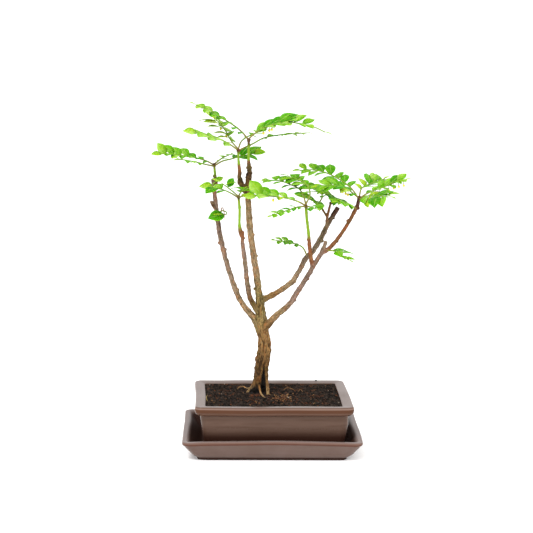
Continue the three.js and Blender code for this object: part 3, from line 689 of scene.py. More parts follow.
WOOD = {
    "trunk": {
        "route": [(-12, 9, 34), (-13, 9, 48), (-12, 9, 57), (-11, 8, 67), (-10, 8, 80), (-8, 7, 95),
                  (-8, 7, 105), (-10, 8, 118), (-12, 8, 138), (-14, 9, 154), (-18, 9, 182), (-22, 8, 207),
                  (-24, 8, 228), (-25, 8, 248), (-25, 8, 269)],
        "radii": [4, 5, 6.4, 7.1, 6.7, 6.6, 5.8, 5.8, 4.5, 3.3, 3.1, 3, 2.9, 2.7, 2.7], "bark": 0.12,
        "knobs": [(0.52, -1, 1.5), (0.66, 1, 1.4), (0.75, 1, 1.4)]},
    "limb_outer_left": {
        "route": [(-12, 8, 114), (-18, 9, 126), (-28, 12, 138), (-34, 14, 148), (-40, 16, 164),
                  (-47, 19, 186), (-52, 21, 208), (-56, 22, 236), (-59, 23, 263)],
        "radii": [4, 3.2, 2.8, 2.6, 2.6, 2.5, 2.4, 2.2, 2.1],
        "knobs": [(0.3, 1, 1.2), (0.56, 1, 1.5), (0.6, -1, 1.5)]},
    "shoot_outer_left": {
        "route": [(-58, 22, 250), (-56, 21, 257), (-57, 21, 266), (-58, 22, 276)],
        "radii": [1.8, 1.6, 1.3, 1.2], "knobs": [(0.6, -1, 1.4)], "head": 2.1},
    "stub_outer_left": {
        "route": [(-56, 22, 232), (-59, 21, 237), (-61, 20, 241)], "radii": [1.7, 1.6, 1.5]},
    "limb_inner_left": {
        "route": [(-13, 8, 131), (-18, 5, 139), (-23, 1, 149), (-25, -3, 160), (-28, -9, 184),
                  (-31, -12, 205), (-31, -13, 216)],
        "radii": [3.2, 2.7, 2.5, 2.4, 2.2, 1.9, 1.8], "knobs": [(0.38, 1, 1.1)]},
    "shoot_inner_left": {
        "route": [(-30, -12, 208), (-33, -13, 216), (-34, -14, 224), (-34, -14, 236), (-35, -14, 249)],
        "radii": [1.6, 1.6, 0.95, 0.95, 1], "knobs": [(0.77, 1, 1.1)], "head": 1.9},
    "limb_upper_right": {
        "route": [(-14, 9, 144), (-5, 11, 147), (5, 13, 152), (18, 15, 161), (26, 17, 172), (33, 19, 185),
                  (40, 20, 192), (47, 21, 204), (55, 22, 220), (64, 23, 235)],
        "radii": [3.8, 2.9, 2.8, 2.7, 2.5, 2.5, 2.4, 2.4, 2.3, 2.3],
        "knobs": [(0.31, 1, 1.4), (0.7, 1, 1.6), (0.9, 1, 1.2)]},
    "twig_upper_right": {
        "route": [(53, 21, 216), (53, 19, 224), (55, 17, 235), (56, 16, 240)],
        "radii": [1.6, 1.3, 1.2, 1.1], "head": 1.6},
    "twig_upper_right_left": {
        "route": [(53, 19, 226), (48, 17, 234), (44, 16, 238)], "radii": [1.1, 1, 0.9], "head": 1.5},
    "limb_lower_right": {
        "route": [(-10, 8, 111), (-5, 3, 121), (3, -2, 131), (14, -7, 142), (21, -10, 153),
                  (31, -15, 171), (40, -19, 188), (45, -20, 196), (50, -20, 199), (57, -20, 206),
                  (68, -18, 221), (78, -15, 239), (81, -14, 249)],
        "radii": [3, 3.4, 3, 2.8, 2.7, 2.4, 2.1, 2.1, 2.1, 1.9, 1.7, 1.8, 1.8],
        "knobs": [(0.29, 1, 1.4), (0.44, 1, 1.3), (0.72, 1, 1.3), (0.86, -1, 1.7), (0.94, 1, 1.5)],
        "head": 2.2},
    "stub_lower_right": {
        "route": [(44, -20, 194), (47, -21, 202), (49, -22, 208)], "radii": [2, 1.8, 1.7]},
    "shoot_lower_right": {
        "route": [(37, -18, 181), (35, -21, 190), (33, -23, 204), (32, -24, 215), (30, -24, 230),
                  (29, -24, 242)],
        "radii": [1.8, 1.5, 1.3, 1.1, 1, 1.1], "knobs": [(0.48, -1, 1.2)], "head": 2},
    "shoot_top_left": {
        "route": [(-26, 8, 250), (-30, 7, 256), (-33, 6, 263), (-34, 5, 275), (-35, 5, 285),
                  (-35, 5, 292)],
        "radii": [2.4, 2.2, 1.7, 1.5, 1, 1.2], "knobs": [(0.3, -1, 1.3)], "head": 2.1},
    "shoot_top_right": {
        "route": [(-25, 8, 265), (-24, 8, 272), (-25, 9, 283), (-25, 9, 302)],
        "radii": [2.2, 1.7, 1.2, 1.1], "knobs": [(0.86, 1, 1.2)], "head": 1.9},
    "root_left": {
        "route": [(-13, 7, 70), (-15, 7, 62), (-19, 8, 55), (-23, 11, 51), (-26, 14, 44)],
        "radii": [4, 3.7, 3.1, 2.5, 1.8]},
    "root_loop": {
        "route": [(-17, 9, 57), (-24, 16, 54), (-28, 20, 55), (-33, 21, 53), (-36, 21, 47)],
        "radii": [1.1, 0.9, 0.8, 0.8, 0.7]},
    "root_front": {
        "route": [(-13, 3, 61), (-12, -4, 56), (-10, -10, 53), (-7, -14, 51), (-5, -17, 46)],
        "radii": [2, 1.5, 1.3, 1.2, 1]},
    "root_right": {
        "route": [(-8, 6, 72), (-6, 4, 61), (-5, 2, 52), (-5, 0, 43)], "radii": [3.6, 3.2, 3, 2.4]},
    "root_back": {
        "route": [(-11, 11, 66), (-8, 17, 56), (-4, 22, 49), (-1, 24, 43)], "radii": [4, 3.4, 2.6, 1.8]},
}

SPRAYS = {
    "outer_left_long": {
        "route": [(-58, 22, 276), (-65, 20, 280), (-74, 18, 283), (-84, 15, 285), (-95, 12, 287),
                  (-103, 10, 288), (-109, 8, 288)],
        "leaves": 12, "size": 14, "rise": (-5, -12, 10, 72), "full": 0.85, "tip": -25},
    "outer_left_front": {
        "route": [(-58, 21, 275), (-68, 12, 278), (-77, 4, 281), (-85, -3, 283), (-93, -9, 285)],
        "leaves": 6, "size": 10, "rise": (-8, -10, -8, 2), "from": 0.4, "full": 0.8},
    "outer_left_back": {
        "route": [(-58, 23, 277), (-50, 32, 282), (-41, 42, 285)], "leaves": 5, "size": 9,
        "rise": (5, 5, 5, 10), "from": 0.25},
    "outer_left_right": {
        "route": [(-57, 21, 276), (-50, 22, 280), (-42, 22, 282), (-31, 24, 285), (-21, 24, 287)],
        "leaves": 5, "size": 19, "rise": (15, 38, -6, -10), "from": 0.5, "full": 0.85, "sweep": 46,
        "tip": 40},
    "outer_left_leaf": {
        "route": [(-57, 21, 256), (-59, 18, 258), (-57, 17, 260)], "leaves": 0, "size": 17,
        "rise": (0, 0, 0, 0), "full": 1, "tip": -45},
    "top_left_long": {
        "route": [(-35, 5, 292), (-44, 1, 298), (-54, -5, 303), (-62, -10, 306), (-68, -14, 309),
                  (-75, -17, 311)],
        "leaves": 8, "size": 18, "rise": (-4, -8, 4, 12), "from": 0.25, "full": 1, "sweep": 38, "tip": -30},
    "top_left_back": {
        "route": [(-35, 6, 293), (-42, 12, 301), (-48, 18, 311), (-54, 23, 318), (-59, 28, 322)],
        "leaves": 12, "size": 17, "rise": (0, 0, 0, 2), "from": 0.2, "full": 0.8, "sweep": 58,
        "buds": (0.5, 0.72, 0.97)},
    "top_left_right": {
        "route": [(-35, 6, 292), (-27, 14, 295), (-20, 17, 298), (-11, 16, 303), (1, 14, 306),
                  (17, 12, 308), (31, 10, 309)],
        "leaves": 10, "size": 10, "rise": (4, 0, -2, 0), "from": 0.35, "full": 0.6},
    "top_left_up": {
        "route": [(-35, 6, 294), (-32, 14, 300), (-26, 21, 304), (-18, 27, 307), (-11, 33, 310)],
        "leaves": 6, "size": 10, "rise": (8, 5, 0, 5), "from": 0.45},
    "top_right_left": {
        "route": [(-26, 9, 303), (-31, 8, 309), (-38, 6, 315), (-50, 3, 323), (-63, -1, 331),
                  (-76, -4, 336)],
        "leaves": 13, "size": 13, "rise": (-8, -6, 14, 22), "from": 0.12, "full": 0.6, "sweep": 50,
        "buds": (0.7,)},
    "top_right_right": {
        "route": [(-25, 9, 303), (-20, 7, 307), (-12, 4, 312), (-2, 0, 316), (11, -5, 319), (23, -9, 318),
                  (36, -13, 316), (47, -16, 312)],
        "leaves": 14, "size": 17, "rise": (52, 26, 0, 0), "from": 0.12, "to": 0.8, "full": 0.4,
        "sweep": 44, "buds": (0.22, 0.3, 0.34)},
    "inner_left_left": {
        "route": [(-35, -15, 250), (-42, -18, 256), (-47, -20, 260), (-51, -21, 263)], "leaves": 3,
        "size": 14, "rise": (14, 14, 60, 60), "from": 0.55, "full": 0.9, "sweep": 132},
    "inner_left_far": {
        "route": [(-36, -14, 249), (-43, -12, 253), (-51, -10, 256), (-59, -8, 257)], "leaves": 3,
        "size": 19, "rise": (-5, -8, 5, 15), "from": 0.5, "full": 1, "tip": -30},
    "inner_left_right": {
        "route": [(-35, -15, 249), (-29, -17, 251), (-24, -19, 252), (-19, -21, 252)], "leaves": 4,
        "size": 11, "rise": (30, 35, -10, -15), "from": 0.15, "full": 0.7},
    "inner_left_up": {
        "route": [(-35, -13, 250), (-33, -9, 253), (-29, -3, 256)], "leaves": 4, "size": 12,
        "rise": (20, 25, -5, 0), "from": 0.4},
    "lower_right_left": {
        "route": [(28, -25, 243), (21, -28, 247), (12, -31, 250), (1, -33, 252), (-10, -35, 253),
                  (-19, -36, 253)],
        "leaves": 10, "size": 17, "rise": (5, 6, 25, 48), "full": 0.85, "tip": -30, "buds": (0.68,)},
    "lower_right_front": {
        "route": [(28, -25, 242), (19, -33, 242), (11, -39, 240), (2, -45, 238), (-5, -49, 236)],
        "leaves": 9, "size": 10, "rise": (-10, -15, 5, 0), "from": 0.2, "full": 0.6, "sweep": 50},
    "lower_right_arch": {
        "route": [(29, -23, 243), (27, -16, 251), (23, -10, 257), (16, -4, 260), (6, 3, 263),
                  (-6, 9, 263)],
        "leaves": 11, "size": 13, "rise": (-14, -10, 15, 18), "from": 0.25, "full": 0.6, "tip": -35},
    "lower_right_up": {
        "route": [(29, -24, 244), (33, -20, 253), (31, -15, 260), (24, -10, 265), (14, -5, 268)],
        "leaves": 9, "size": 14, "rise": (-10, -8, 10, 14), "from": 0.3, "full": 0.7, "sweep": 50},
    "lower_right_right": {
        "route": [(30, -25, 242), (34, -31, 242), (38, -36, 241)], "leaves": 3, "size": 11,
        "rise": (15, 15, -20, -20), "from": 0.4},
    "twig_left": {
        "route": [(44, 15, 238), (40, 11, 243), (35, 5, 246)], "leaves": 5, "size": 16,
        "rise": (-28, -30, 18, 25), "from": 0.1, "sweep": 60},
    "twig_back": {
        "route": [(44, 17, 239), (48, 19, 246), (45, 22, 251), (38, 25, 254)], "leaves": 6, "size": 15,
        "rise": (-8, -8, 14, 16), "from": 0.3, "full": 0.8, "sweep": 38},
    "twig_up": {
        "route": [(56, 16, 240), (59, 10, 246), (55, 4, 250), (49, -1, 251)], "leaves": 6, "size": 16,
        "rise": (-35, -35, 18, 20), "from": 0.2, "full": 0.6},
    "crown_arch": {
        "route": [(80, -13, 249), (75, -6, 256), (69, 4, 261), (60, 12, 266), (50, 18, 270),
                  (38, 22, 272), (26, 24, 271)],
        "leaves": 14, "size": 14, "rise": (-14, -12, 22, 32), "full": 0.6, "sweep": 56},
    "crown_left": {
        "route": [(80, -15, 249), (73, -18, 255), (66, -19, 259), (54, -21, 262), (45, -22, 261)],
        "leaves": 9, "size": 15, "rise": (-8, -14, 24, 30), "full": 0.8, "sweep": 50, "tip": -30,
        "buds": (0.35, 0.42, 0.52)},
    "crown_back": {
        "route": [(81, -13, 250), (84, -4, 257), (92, 5, 260), (101, 13, 262), (109, 20, 264)],
        "leaves": 10, "size": 14, "rise": (32, 40, -8, -4), "from": 0.2, "full": 0.5},
    "crown_right": {
        "route": [(82, -14, 249), (87, -16, 253), (95, -18, 257), (105, -20, 261), (115, -22, 266),
                  (123, -24, 268)],
        "leaves": 12, "size": 13, "rise": (30, 44, -2, -4), "full": 0.6,
        "buds": (0.36, 0.44, 0.56, 0.64, 0.76, 0.86, 0.97)},
    "crown_front": {
        "route": [(81, -15, 248), (86, -24, 252), (93, -33, 253), (99, -41, 254), (105, -47, 254)],
        "leaves": 11, "size": 15, "rise": (4, 18, -32, -34), "from": 0.2, "full": 0.6, "sweep": 56},
    "crown_low": {
        "route": [(78, -16, 239), (72, -20, 243), (66, -27, 246), (59, -33, 247)], "leaves": 6,
        "size": 13, "rise": (-18, -22, 16, 16), "from": 0.3, "full": 0.7},
    "middle": {
        "route": [(34, 19, 187), (30, 16, 195), (25, 12, 199), (16, 8, 202), (8, 4, 204), (2, 2, 205)],
        "leaves": 9, "size": 11, "rise": (-8, -10, 20, 26), "from": 0.3, "full": 0.6},
    "elbow": {
        "route": [(50, -21, 199), (57, -26, 199), (63, -31, 196), (70, -37, 192)], "leaves": 5,
        "size": 14, "rise": (2, 0, -14, -16), "from": 0.2, "full": 0.3, "sweep": 38},
    "limb_pair": {
        "route": [(-54, 21, 229), (-50, 16, 232), (-46, 13, 231), (-46, 12, 229), (-49, 11, 229)],
        "leaves": 1, "size": 17, "rise": (-35, -35, -35, -35), "from": 0.9, "full": 1, "sweep": 18,
        "tip": -15},
}


# Wood

# What each limb looks like along its length: [share of its length, colour].
TINTS = {
    "trunk": [(0, "dark"), (0.08, "dark"), (0.12, "umber"), (0.18, "umber"), (0.25, "tan"),
              (0.34, "tan"), (0.4, "olive"), (0.5, "olive"), (0.6, "drab"), (0.85, "drab"),
              (0.95, "umber"), (1, "dark")],
    "limb_outer_left": [(0, "olive"), (0.14, "drab"), (0.4, "grey"), (0.7, "mauve"), (1, "mauve")],
    "shoot_outer_left": [(0, "russet"), (0.5, "umber"), (0.7, "green"), (0.85, "green"), (1, "head")],
    "stub_outer_left": [(0, "mauve"), (0.6, "umber"), (1, "cut")],
    "limb_inner_left": [(0, "olive"), (0.2, "umber"), (0.5, "grey"), (0.85, "mauve"), (1, "russet")],
    "shoot_inner_left": [(0, "russet"), (0.22, "russet"), (0.34, "green"), (0.9, "green"), (1, "head")],
    "limb_upper_right": [(0, "olive"), (0.12, "tan"), (0.28, "drab"), (0.45, "grey"), (0.85, "dusk"),
                         (0.95, "plum"), (1, "plum")],
    "twig_upper_right": [(0, "drab"), (0.5, "russet"), (1, "head")],
    "twig_upper_right_left": [(0, "russet"), (0.6, "umber"), (1, "head")],
    "limb_lower_right": [(0, "tan"), (0.08, "tan"), (0.2, "drab"), (0.3, "mauve"), (0.6, "mauve"),
                         (0.68, "russet"), (0.92, "russet"), (0.97, "plum"), (1, "head")],
    "stub_lower_right": [(0, "mauve"), (0.7, "grey"), (1, "cut")],
    "shoot_lower_right": [(0, "mauve"), (0.15, "russet"), (0.48, "russet"), (0.56, "green"),
                          (0.93, "green"), (1, "head")],
    "shoot_top_left": [(0, "umber"), (0.1, "crust"), (0.4, "crust"), (0.6, "russet"), (0.66, "russet"),
                       (0.72, "green"), (0.92, "green"), (1, "head")],
    "shoot_top_right": [(0, "umber"), (0.08, "crust"), (0.36, "crust"), (0.44, "russet"), (0.5, "green"),
                        (0.82, "green"), (0.92, "head"), (1, "head")],
    "root_left": [(0, "umber"), (0.35, "tan"), (0.6, "pale"), (0.85, "tan"), (1, "umber")],
    "root_loop": [(0, "tan"), (0.3, "pale"), (1, "tan")],
    "root_front": [(0, "umber"), (0.3, "tan"), (0.6, "pale"), (1, "pale")],
    "root_right": [(0, "tan"), (0.4, "tan"), (0.6, "pale"), (0.85, "tan"), (1, "umber")],
    "root_back": [(0, "tan"), (0.6, "umber"), (1, "umber")],
}
COLOURS = {
    "tan": seen(164, 126, 82), "umber": seen(130, 98, 62), "drab": seen(190, 162, 126),
    "grey": seen(166, 144, 124), "mauve": seen(164, 138, 124), "olive": seen(166, 146, 96),
    "russet": seen(158, 106, 72), "plum": seen(104, 74, 66), "dark": seen(70, 50, 35),
    "green": seen(152, 196, 50), "dusk": seen(136, 118, 98), "crust": seen(122, 98, 62),
    "head": seen(118, 85, 62), "cut": seen(160, 136, 116), "pale": seen(216, 180, 130),
}
# How rough the bark of a colour is, and how much thicker or slimmer a limb is than in the solids
ROUGH = {"green": 0.12, "dark": 1.2, "crust": 1.3, "russet": 0.7, "plum": 0.7, "mauve": 0.8,
         "grey": 0.85, "cut": 0.5}
GIRTH = {"root_front": 0.6, "root_loop": 0.65, "root_right": 0.85, "shoot_inner_left": 1.35,
           "shoot_lower_right": 1.4, "shoot_top_left": 1.1, "shoot_top_right": 1.15}
# How far along a shoot its foot is rugged, and by how much
CRUST = {"shoot_top_left": (0.5, 0.9), "shoot_top_right": (0.42, 1.3)}
VOXEL = 0.53
# The hollow between the roots, sunk in and painted in shade: at each height its place along X and half its
# width, then its depth and its reach along Y.
HOLLOW = {"heights": (50, 60, 70, 81), "places": (-8.6, -8.4, -8.2, -8),
          "widths": (3, 2.8, 2, 0.3), "depth": 2.2, "front": -2.6, "back": 7}
# Low on the trunk, below top and fading over fade, left of right: soil stain with painted shade on the
# faces that don't look up.
SOIL_AND_SHADE_FOOT = {"top": 64, "fade": 9, "right": -6}


def along(values, t):
    place = t * (len(values) - 1)
    i = min(int(place), len(values) - 2)
    return values[i] + (values[i + 1] - values[i]) * (place - i)


def ridges(angle, height):
    broad = math.sin(3 * angle + 0.045 * height)
    narrow = math.sin(5 * angle - 0.07 * height + 1)
    return 0.6 * broad + 0.4 * narrow


def rings_of(name, length):
    """Where a limb has the rings that fallen shoots and each year's growth leave."""
    rng = random.Random(name)
    places = []
    at = 5 + 4 * rng.random()
    while at < length - 3:
        places.append((at, 0.5 + 0.7 * rng.random()))
        at += 6.5 + 6 * rng.random()
    return places


def tint_at(name, share):
    steps = TINTS[name]
    for (a, first), (b, second) in zip(steps, steps[1:]):
        if share <= b:
            w = 0 if b <= a else (share - a) / (b - a)
            one, two = np.array(COLOURS[first][:3]), np.array(COLOURS[second][:3])
            rough = ROUGH.get(first, 1) * (1 - w) + ROUGH.get(second, 1) * w
            return one * (1 - w) + two * w, rough
    return np.array(COLOURS[steps[-1][1]][:3]), ROUGH.get(steps[-1][1], 1)


def sculpted_limb(build, name, limb, samples):
    """One limb as a fine tube, and the numbers along it that its bark is painted from."""
    curve = Curve(limb["route"])
    count = max(6, round(curve.length / 0.9))
    base = limb["radii"][0]
    sides = 44 if base > 4 else 22
    bark = limb.get("bark", 0)
    slim = GIRTH.get(name, 1)
    scars = rings_of(name, curve.length)
    chance = 40 * random.Random(name).random()
    crusted, crust = CRUST.get(name, (1, 0))
    rows = []
    for u, centre, tangent, normal, other in frames(curve, count):
        s = u * curve.length
        sway = 0.14 * min(3, along(limb["radii"], curve.t_of(u))) * math.sin(math.pi * u)
        centre = centre + sway * (noise.noise(Vector((s * 0.17, chance, 0))) * normal
                                  + noise.noise(Vector((s * 0.17, chance, 9))) * other)
        rows.append((u, centre, tangent, normal, other))

    def radius_at(u, angle):
        radius = slim * along(limb["radii"], curve.t_of(u))
        deep = bark * min(1, (radius / 8) ** 2)
        s = u * curve.length
        swell = 0.1 * noise.noise(Vector((s * 0.3, chance, math.cos(angle))))
        ring = sum(h * math.exp(-((s - p) / 0.9) ** 2) for p, h in scars if abs(s - p) < 3)
        ring *= min(1, radius / 2) * max(0, 1 - radius / 6)
        rugged = crust * share_of(u, crusted, crusted * 0.7)
        lumps = noise.noise(Vector((s * 0.42, chance + 1.3 * math.cos(angle), 1.3 * math.sin(angle))))
        rugged *= 0.15 + 2.6 * max(0, lumps)
        return radius * (1 + deep * ridges(angle, s) + swell) + 0.45 * ring + rugged

    build.tube(rows, radius_at, sides)
    for share, side, radius in limb.get("knobs", []):
        centre = curve.point(share)
        reach = along(limb["radii"], curve.t_of(share))
        place = centre + np.array([side * reach, -0.35 * reach, 0])
        knob(build, place, radius, name)
    if limb.get("head"):
        knob(build, rows[-1][1], limb["head"], name)
    for u, centre, tangent, normal, other in rows:
        colour, rough = tint_at(name, u)
        s = u * curve.length
        radius = slim * along(limb["radii"], curve.t_of(u))
        scar = max([math.exp(-((s - p - 0.7) / 0.55) ** 2) * h for p, h in scars], default=0)
        scar *= max(0, 1 - radius / 6)
        samples.append((name, centre, tangent, normal, other, radius, s, colour, rough, scar))


def knob(build, at, radius, name):
    mesh = bmesh.new()
    bmesh.ops.create_icosphere(mesh, subdivisions=3, radius=1)
    shift = Vector((len(name), at[2], at[0]))
    verts = []
    for v in mesh.verts:
        swell = 1 + 0.34 * noise.noise(v.co * 1.9 + shift)
        verts.append(tuple(at + np.array(v.co) * radius * swell))
    faces = [tuple(v.index for v in f.verts) for f in mesh.faces]
    mesh.free()
    build.add(verts, faces)


def fused(build, name, voxel):
    """One skin round everything in the build, as a new mesh."""
    rough = build.piece(name + "_rough", [])
    change = rough.modifiers.new("skin", "REMESH")
    change.mode = "VOXEL"
    change.voxel_size = voxel * MM
    soften = rough.modifiers.new("soften", "SMOOTH")
    soften.factor = 0.5
    soften.iterations = 2
    ready = rough.evaluated_get(bpy.context.evaluated_depsgraph_get())
    mesh = bpy.data.meshes.new_from_object(ready)
    mesh.name = name
    old = rough.data
    bpy.data.objects.remove(rough)
    bpy.data.meshes.remove(old)
    return mesh


AT_ONCE = 6000  # points compared in one go, for the memory's sake


def nearest_samples(points, samples):
    """For each point its nearest sample, and its colour and roughness blended where limbs meet."""
    centres = np.array([s[1] for s in samples])
    radii = np.array([s[5] for s in samples])
    colours = np.array([s[7] for s in samples])
    roughs = np.array([s[8] for s in samples])
    names = [s[0] for s in samples]
    starts = [k for k in range(len(names)) if k == 0 or names[k] != names[k - 1]]
    best = np.zeros(len(points), int)
    colour = np.zeros((len(points), 3))
    rough = np.zeros(len(points))
    for a in range(0, len(points), AT_ONCE):
        part = points[a:a + AT_ONCE]
        gap = np.sqrt(((part[:, None, :] - centres[None, :, :]) ** 2).sum(2)) - radii[None, :]
        best[a:a + AT_ONCE] = gap.argmin(1)
        ends = starts[1:] + [len(names)]
        picks = np.stack([s + gap[:, s:e].argmin(1) for s, e in zip(starts, ends)], 1)
        least = np.take_along_axis(gap, picks, 1)
        weight = np.exp(-(least - least.min(1, keepdims=True)) / 0.6)
        weight /= weight.sum(1, keepdims=True)
        colour[a:a + AT_ONCE] = (weight[:, :, None] * colours[picks]).sum(1)
        rough[a:a + AT_ONCE] = (weight * roughs[picks]).sum(1)
    return best, colour, rough


def bark_material(name):
    m = Nodes(name)
    place = m.held("bark_place", "Vector")
    tint = m.held("tint", "Color")
    fissure = m.held("fissure")
    rough = m.held("rough")
    scar = m.held("scar")
    ropes = m.grain(m.scaled(place, (0.5, 0.5, 0.11)), 1.0, 3.0, 0.6, 0.5)
    fibres = m.grain(m.scaled(place, (1.0, 1.0, 0.28)), 1.2, 5.0, 0.68, 0.5)
    blotch = m.grain(m.scaled(place, (1, 1, 0.6)), 0.3, 4.0, 0.6)
    lichen = m.grain(place, 0.55, 4.0, 0.7)
    speck = m.grain(place, 1.05, 4.0, 0.7)
    flake = m.grain(m.scaled(place, (1, 1, 0.6)), 0.9, 3.0, 0.6)
    light = m.mix(1.0, tint, (1.85, 1.78, 1.7, 1), "MULTIPLY")
    deep = m.mix(1.0, tint, (0.25, 0.2, 0.12, 1), "MULTIPLY")
    ruddy = m.mix(1.0, tint, (1.35, 0.85, 0.55, 1), "MULTIPLY")
    body = m.mix(m.sum("MULTIPLY", m.span(ropes, 0.52, 0.68, 0, 0.75), rough), tint, light)
    body = m.mix(m.sum("MULTIPLY", m.span(ropes, 0.48, 0.34, 0, 0.8), rough), body, deep)
    body = m.mix(m.sum("MULTIPLY", m.span(fibres, 0.54, 0.7, 0, 0.8), rough), body, light)
    body = m.mix(m.sum("MULTIPLY", m.span(fibres, 0.47, 0.33), rough), body, deep)
    body = m.mix(m.span(blotch, 0.52, 0.64, 0, 0.75), body, ruddy)
    moss = m.grain(m.scaled(place, (1, 1, 0.7)), 0.24, 5.0, 0.72)
    body = m.mix(m.sum("MULTIPLY", m.span(moss, 0.54, 0.62, 0, 0.5), rough), body, seen(112, 108, 50))
    body = m.mix(m.sum("MULTIPLY", m.span(lichen, 0.6, 0.66, 0, 0.6), rough), body, seen(176, 168, 132))
    body = m.mix(m.sum("MULTIPLY", m.span(speck, 0.55, 0.62, 0, 0.8), rough), body, deep)
    body = m.mix(m.sum("MULTIPLY", m.span(flake, 0.58, 0.66, 0, 0.6), rough), body, light)
    body = m.mix(m.span(fissure, 0.2, 0.75, 0, 0.9), body, deep)
    broken = m.sum("MULTIPLY", m.span(scar, 0.2, 0.8, 0, 0.9), m.span(fibres, 0.56, 0.42, 0.1, 0.8))
    body = m.mix(broken, body, seen(84, 56, 40))
    # Painted shade in the hollow between the roots, and soil stain with painted shade low on the trunk.
    body = m.mix(m.span(m.held("shade_and_soil"), 0.15, 0.85, 0, 0.96), body, seen(26, 17, 12, 0.004))
    normal = m.bump(m.sum("MULTIPLY", fibres, rough), 0.0009, 0.8)
    normal = m.bump(speck, 0.00025, 0.4, normal)
    gloss = m.span(rough, 0.1, 0.7, 0.45, 0.86)
    return m.finish(body, gloss, normal, 0.22)


def hollow_shade_and_soil(p, normal):
    """How far a point of the wood lies in the hollow between the roots, where it is painted in shade, and
    how much soil stain with painted shade it gets low on the trunk.
    """
    if not HOLLOW["front"] < p[1] < HOLLOW["back"]:
        return 0.0, 0.0
    place = float(np.interp(p[2], HOLLOW["heights"], HOLLOW["places"]))
    width = float(np.interp(p[2], HOLLOW["heights"], HOLLOW["widths"]))
    # In the hollow the wood is sunk in and painted in shade.
    within = max(0.0, 1 - (abs(p[0] - place) / width) ** 4) if p[2] < HOLLOW["heights"][-1] else 0.0
    low = min(1.0, max(0.0, (SOIL_AND_SHADE_FOOT["top"] - p[2]) / SOIL_AND_SHADE_FOOT["fade"]))
    # Soil stain with painted shade: low on the trunk, the faces that don't look up turn dark.
    stain = low * min(1.0, max(0.0, 1.0 - 1.6 * normal[2])) if p[0] < SOIL_AND_SHADE_FOOT["right"] else 0.0
    return within, max(within, stain)


def make_wood():
    build = Build()
    samples = []
    for name, limb in WOOD.items():
        sculpted_limb(build, name, limb, samples)
    mesh = fused(build, "bark_of_tree", VOXEL)
    count = len(mesh.vertices)
    points = np.zeros(count * 3)
    mesh.vertices.foreach_get("co", points)
    points = points.reshape(-1, 3) / MM
    normals = np.zeros(count * 3)
    mesh.vertices.foreach_get("normal", normals)
    normals = normals.reshape(-1, 3)
    best, colour, rough = nearest_samples(points, samples)
    centre, tangent, side, other, radius, reach, scar = (
        np.array([s[k] for s in samples])[best] for k in (1, 2, 3, 4, 5, 6, 9))
    shift = np.array([sum(map(ord, s[0])) % 97 for s in samples])[best] * 7.0
    offset = points - centre
    place = np.stack([(offset * side).sum(1), (offset * other).sum(1),
                      reach + (offset * tangent).sum(1) + shift], 1)
    fissure = np.zeros(count)
    shade_and_soil = np.zeros(count)
    move = np.zeros(count)
    for i in range(count):
        p = Vector(place[i])
        fade = min(1.0, max(0.0, 0.75 + 1.8 * noise.noise(Vector((p.x * 0.2, p.y * 0.2, p.z * 0.06)))))
        crack = 1 - min(1.0, abs(noise.noise(Vector((p.x * 0.46, p.y * 0.46, p.z * 0.1)))) * 3.4)
        crack *= fade
        rope = noise.noise(Vector((p.x * 0.3, p.y * 0.3, p.z * 0.06 + 30)))
        fine = noise.noise(Vector((p.x * 1.1, p.y * 1.1, p.z * 0.4)))
        knobble = noise.noise(Vector((p.x * 0.42, p.y * 0.42, p.z * 0.3 + 60)))
        size = min(1.0, radius[i] / 6)
        fissure[i] = crack * rough[i] * (0.45 + 0.55 * size)
        move[i] = rough[i] * (size * (0.28 - 0.8 * crack + 0.8 * rope + 0.7 * knobble)
                              + 0.3 * fine * (0.4 + size))
        if points[i][2] < HOLLOW["heights"][-1]:
            within, shade_and_soil[i] = hollow_shade_and_soil(points[i], normals[i])
            move[i] -= HOLLOW["depth"] * within
    points = points + normals * move[:, None]
    mesh.vertices.foreach_set("co", (points * MM).ravel())
    scar *= np.clip(rough, 0.25, 1)
    for key, values in (("fissure", fissure), ("rough", rough), ("scar", scar), ("shade_and_soil", shade_and_soil)):
        mesh.attributes.new(key, "FLOAT", "POINT").data.foreach_set("value", values)
    tint = np.concatenate([colour, np.ones((count, 1))], 1)
    mesh.attributes.new("tint", "FLOAT_COLOR", "POINT").data.foreach_set("color", tint.ravel())
    mesh.attributes.new("bark_place", "FLOAT_VECTOR", "POINT").data.foreach_set("vector", place.ravel())
    mesh.polygons.foreach_set("use_smooth", [True] * len(mesh.polygons))
    wood = placed("bark", mesh, [BARK])
    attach(wood, "root")
    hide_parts("tree")


# Leafy sprays

def draws_from(seed):
    state = seed

    def draw():
        nonlocal state
        state = (state * 16807) % 2147483647
        return (state / 2147483647) * 2 - 1

    return draw


def unit(v):
    return v / np.linalg.norm(v)


